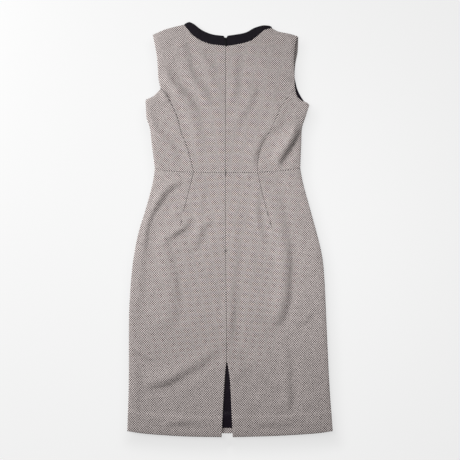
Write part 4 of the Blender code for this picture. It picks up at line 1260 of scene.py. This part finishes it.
def make_pull():
    """The pull tab with rounded edges, and an eye below the crossbar that it turns on."""
    half_bar, half_width, half_eye = BAR / 2, PULL_WIDTH / 2, EYE_WIDTH / 2
    tip = [(half_width * cos(angle), half_width * (sin(angle) + 1) - PULL_LENGTH)
           for angle in np.linspace(0, -pi, 17)]
    outline = np.array(tip + [(-half_width, half_bar), (half_width, half_bar)]) + [CENTRE, HINGE_Y]
    eye = np.array([(-half_eye, -half_bar), (-half_eye, -half_bar - EYE_LENGTH),
                    (half_eye, -half_bar - EYE_LENGTH), (half_eye, -half_bar)]) + [CENTRE, HINGE_Y]
    data = cut_flat("pull", BAR, PULL_EDGE, outline, eye)
    low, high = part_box("zip_pull")
    data.transform(Matrix.Translation((0, 0, low.z)))
    pull = finished("zip_pull_tab", data, zip_metal())
    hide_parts("zip_pull")
    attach(pull, "pull")


class DRESS_OT_sewing(bpy.types.Operator):
    """Sew the seams, with a row of stitches down in each"""
    bl_idname = "dress.sewing"
    bl_label = "Sewing"

    def execute(self, context):
        sewing = context.scene.sewing
        lines = [on_face(waist(), STITCH_DEPTH),
                 on_face(through(CENTRE_SKIRT)[:-UNSEWN_POINTS], STITCH_DEPTH)]
        for half in (LEFT, RIGHT):
            lines += [on_face(through(side_of(half, PRINCESS_SEAMS)), STITCH_DEPTH),
                      on_face(through(half.dart), STITCH_DEPTH)]
        size = (sewing.thread_width, sewing.thread_width, sewing.stitch_length)
        stitches = row_of_beads("seam_stitches", lines, sewing.stitch_pitch, size,
                                make_thread(sewing.thread_colour))
        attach(stitches, "dress")
        return {"FINISHED"}


def aimed(item, target):
    """Turn a light or a camera towards a point."""
    item.rotation_euler = (Vector(target) - item.location).to_track_quat("-Z", "Y").to_euler()


def soft_light(name, power, size, target, place):
    """A square soft light that is turned towards a point."""
    light = bpy.data.lights.new(name, "AREA")
    light.shape = "SQUARE"
    light.size = size
    light.energy = power
    item = linked(name, light)
    item.location = place
    aimed(item, target)


class DRESS_OT_stage(bpy.types.Operator):
    """Make the pale floor, the soft light and the camera"""
    bl_idname = "dress.stage"
    bl_label = "Stage"

    def execute(self, context):
        stage = context.scene.stage
        across, up = (np.array([-FLOOR_FAR, *np.arange(-reach, reach + 1, FLOOR_STEP), FLOOR_FAR])
                      for reach in FLOOR_FINE)
        places = np.stack(np.meshgrid(across, up), axis=-1).reshape(-1, 2)
        verts = np.column_stack([places, np.full(len(places), FLOOR_Z)]) * MM
        mesh = bpy.data.meshes.new("floor")
        mesh.from_pydata(verts.tolist(), [], grid_faces(len(up), len(across))[1].tolist())
        # Painted shadow: the floor's glow is dimmed beside the dress by the stored shade.
        mesh.attributes.new("shade", "FLOAT", "POINT").data.foreach_set("value", painted_floor_shadow(places))
        floor = linked("floor", mesh)
        material, tree, shader = new_material("floor", Roughness=0.9, Specular_IOR_Level=0.1)
        shade = add_node(tree, "ShaderNodeAttribute", attribute_name="shade").outputs["Fac"]
        tree.links.new(ranged(tree, shade, 0.0, 1.0, stage.floor_glow, 0.0), shader["Emission Strength"])
        shader["Base Color"].default_value = rgba(stage.floor_colour)
        shader["Emission Color"].default_value = (1.0, 1.0, 1.0, 1.0)
        mesh.materials.append(material)
        world = bpy.data.worlds.new("studio")
        world.use_nodes = True
        backdrop = world.node_tree.nodes["Background"].inputs
        backdrop["Color"].default_value = (1.0, 1.0, 1.0, 1.0)
        seen = add_node(world.node_tree, "ShaderNodeLightPath").outputs["Is Camera Ray"]
        world.node_tree.links.new(ranged(world.node_tree, seen, 0.0, 1.0, stage.fill, stage.backdrop),
                                  backdrop["Strength"])
        context.scene.world = world
        turn, rise = stage.key_heading, stage.key_height
        heading = Vector((cos(turn) * cos(rise), sin(turn) * cos(rise), sin(rise)))
        soft_light("key", stage.key_power, KEY_SIZE, KEY_TARGET, KEY_TARGET + KEY_DISTANCE * heading)
        soft_light("top", stage.top_power, TOP_SIZE, (0, 0, 0), TOP_PLACE)
        camera = linked("camera", bpy.data.cameras.new("camera"))
        camera.data.sensor_width = SENSOR
        camera.data.lens = FOCAL_SHARE * SENSOR
        above = Vector((0, -sin(stage.tilt), cos(stage.tilt)))
        camera.location = VIEW_MIDDLE + stage.distance * above
        camera.rotation_euler = (stage.tilt, 0, 0)
        context.scene.camera = camera
        context.scene.view_settings.view_transform = "Standard"
        return {"FINISHED"}


STEPS = (DRESS_OT_back_bodice, DRESS_OT_back_skirt, DRESS_OT_neckband, DRESS_OT_front, DRESS_OT_linings,
         DRESS_OT_zip, DRESS_OT_sewing, DRESS_OT_stage)
SETTINGS = {"suiting": SuitingSettings, "trim": TrimSettings, "sewing": SewingSettings,
            "stage": StageSettings}


class DRESS_PT_panel(bpy.types.Panel):
    """The dress's settings and steps"""
    bl_label = "Shift dress"
    bl_space_type = "VIEW_3D"
    bl_region_type = "UI"
    bl_category = "Dress"

    def draw(self, context):
        for step in STEPS:
            self.layout.operator(step.bl_idname)
        for name, settings in SETTINGS.items():
            box = self.layout.box()
            box.label(text=name.capitalize())
            for key in settings.__annotations__:
                box.prop(getattr(context.scene, name), key)


def register():
    for item in (*SETTINGS.values(), *STEPS, DRESS_PT_panel):
        bpy.utils.register_class(item)
    for name, settings in SETTINGS.items():
        setattr(bpy.types.Scene, name, PointerProperty(type=settings))


def unregister():
    for name in SETTINGS:
        delattr(bpy.types.Scene, name)
    for item in (DRESS_PT_panel, *STEPS, *SETTINGS.values()):
        bpy.utils.unregister_class(item)


def main():
    register()
    bpy.ops.dress.back_bodice()
    bpy.ops.dress.back_skirt()
    bpy.ops.dress.neckband()
    bpy.ops.dress.front()
    bpy.ops.dress.linings()
    bpy.ops.dress.zip()
    bpy.ops.dress.sewing()
    bpy.ops.dress.stage()


if __name__ == "__main__":
    main()
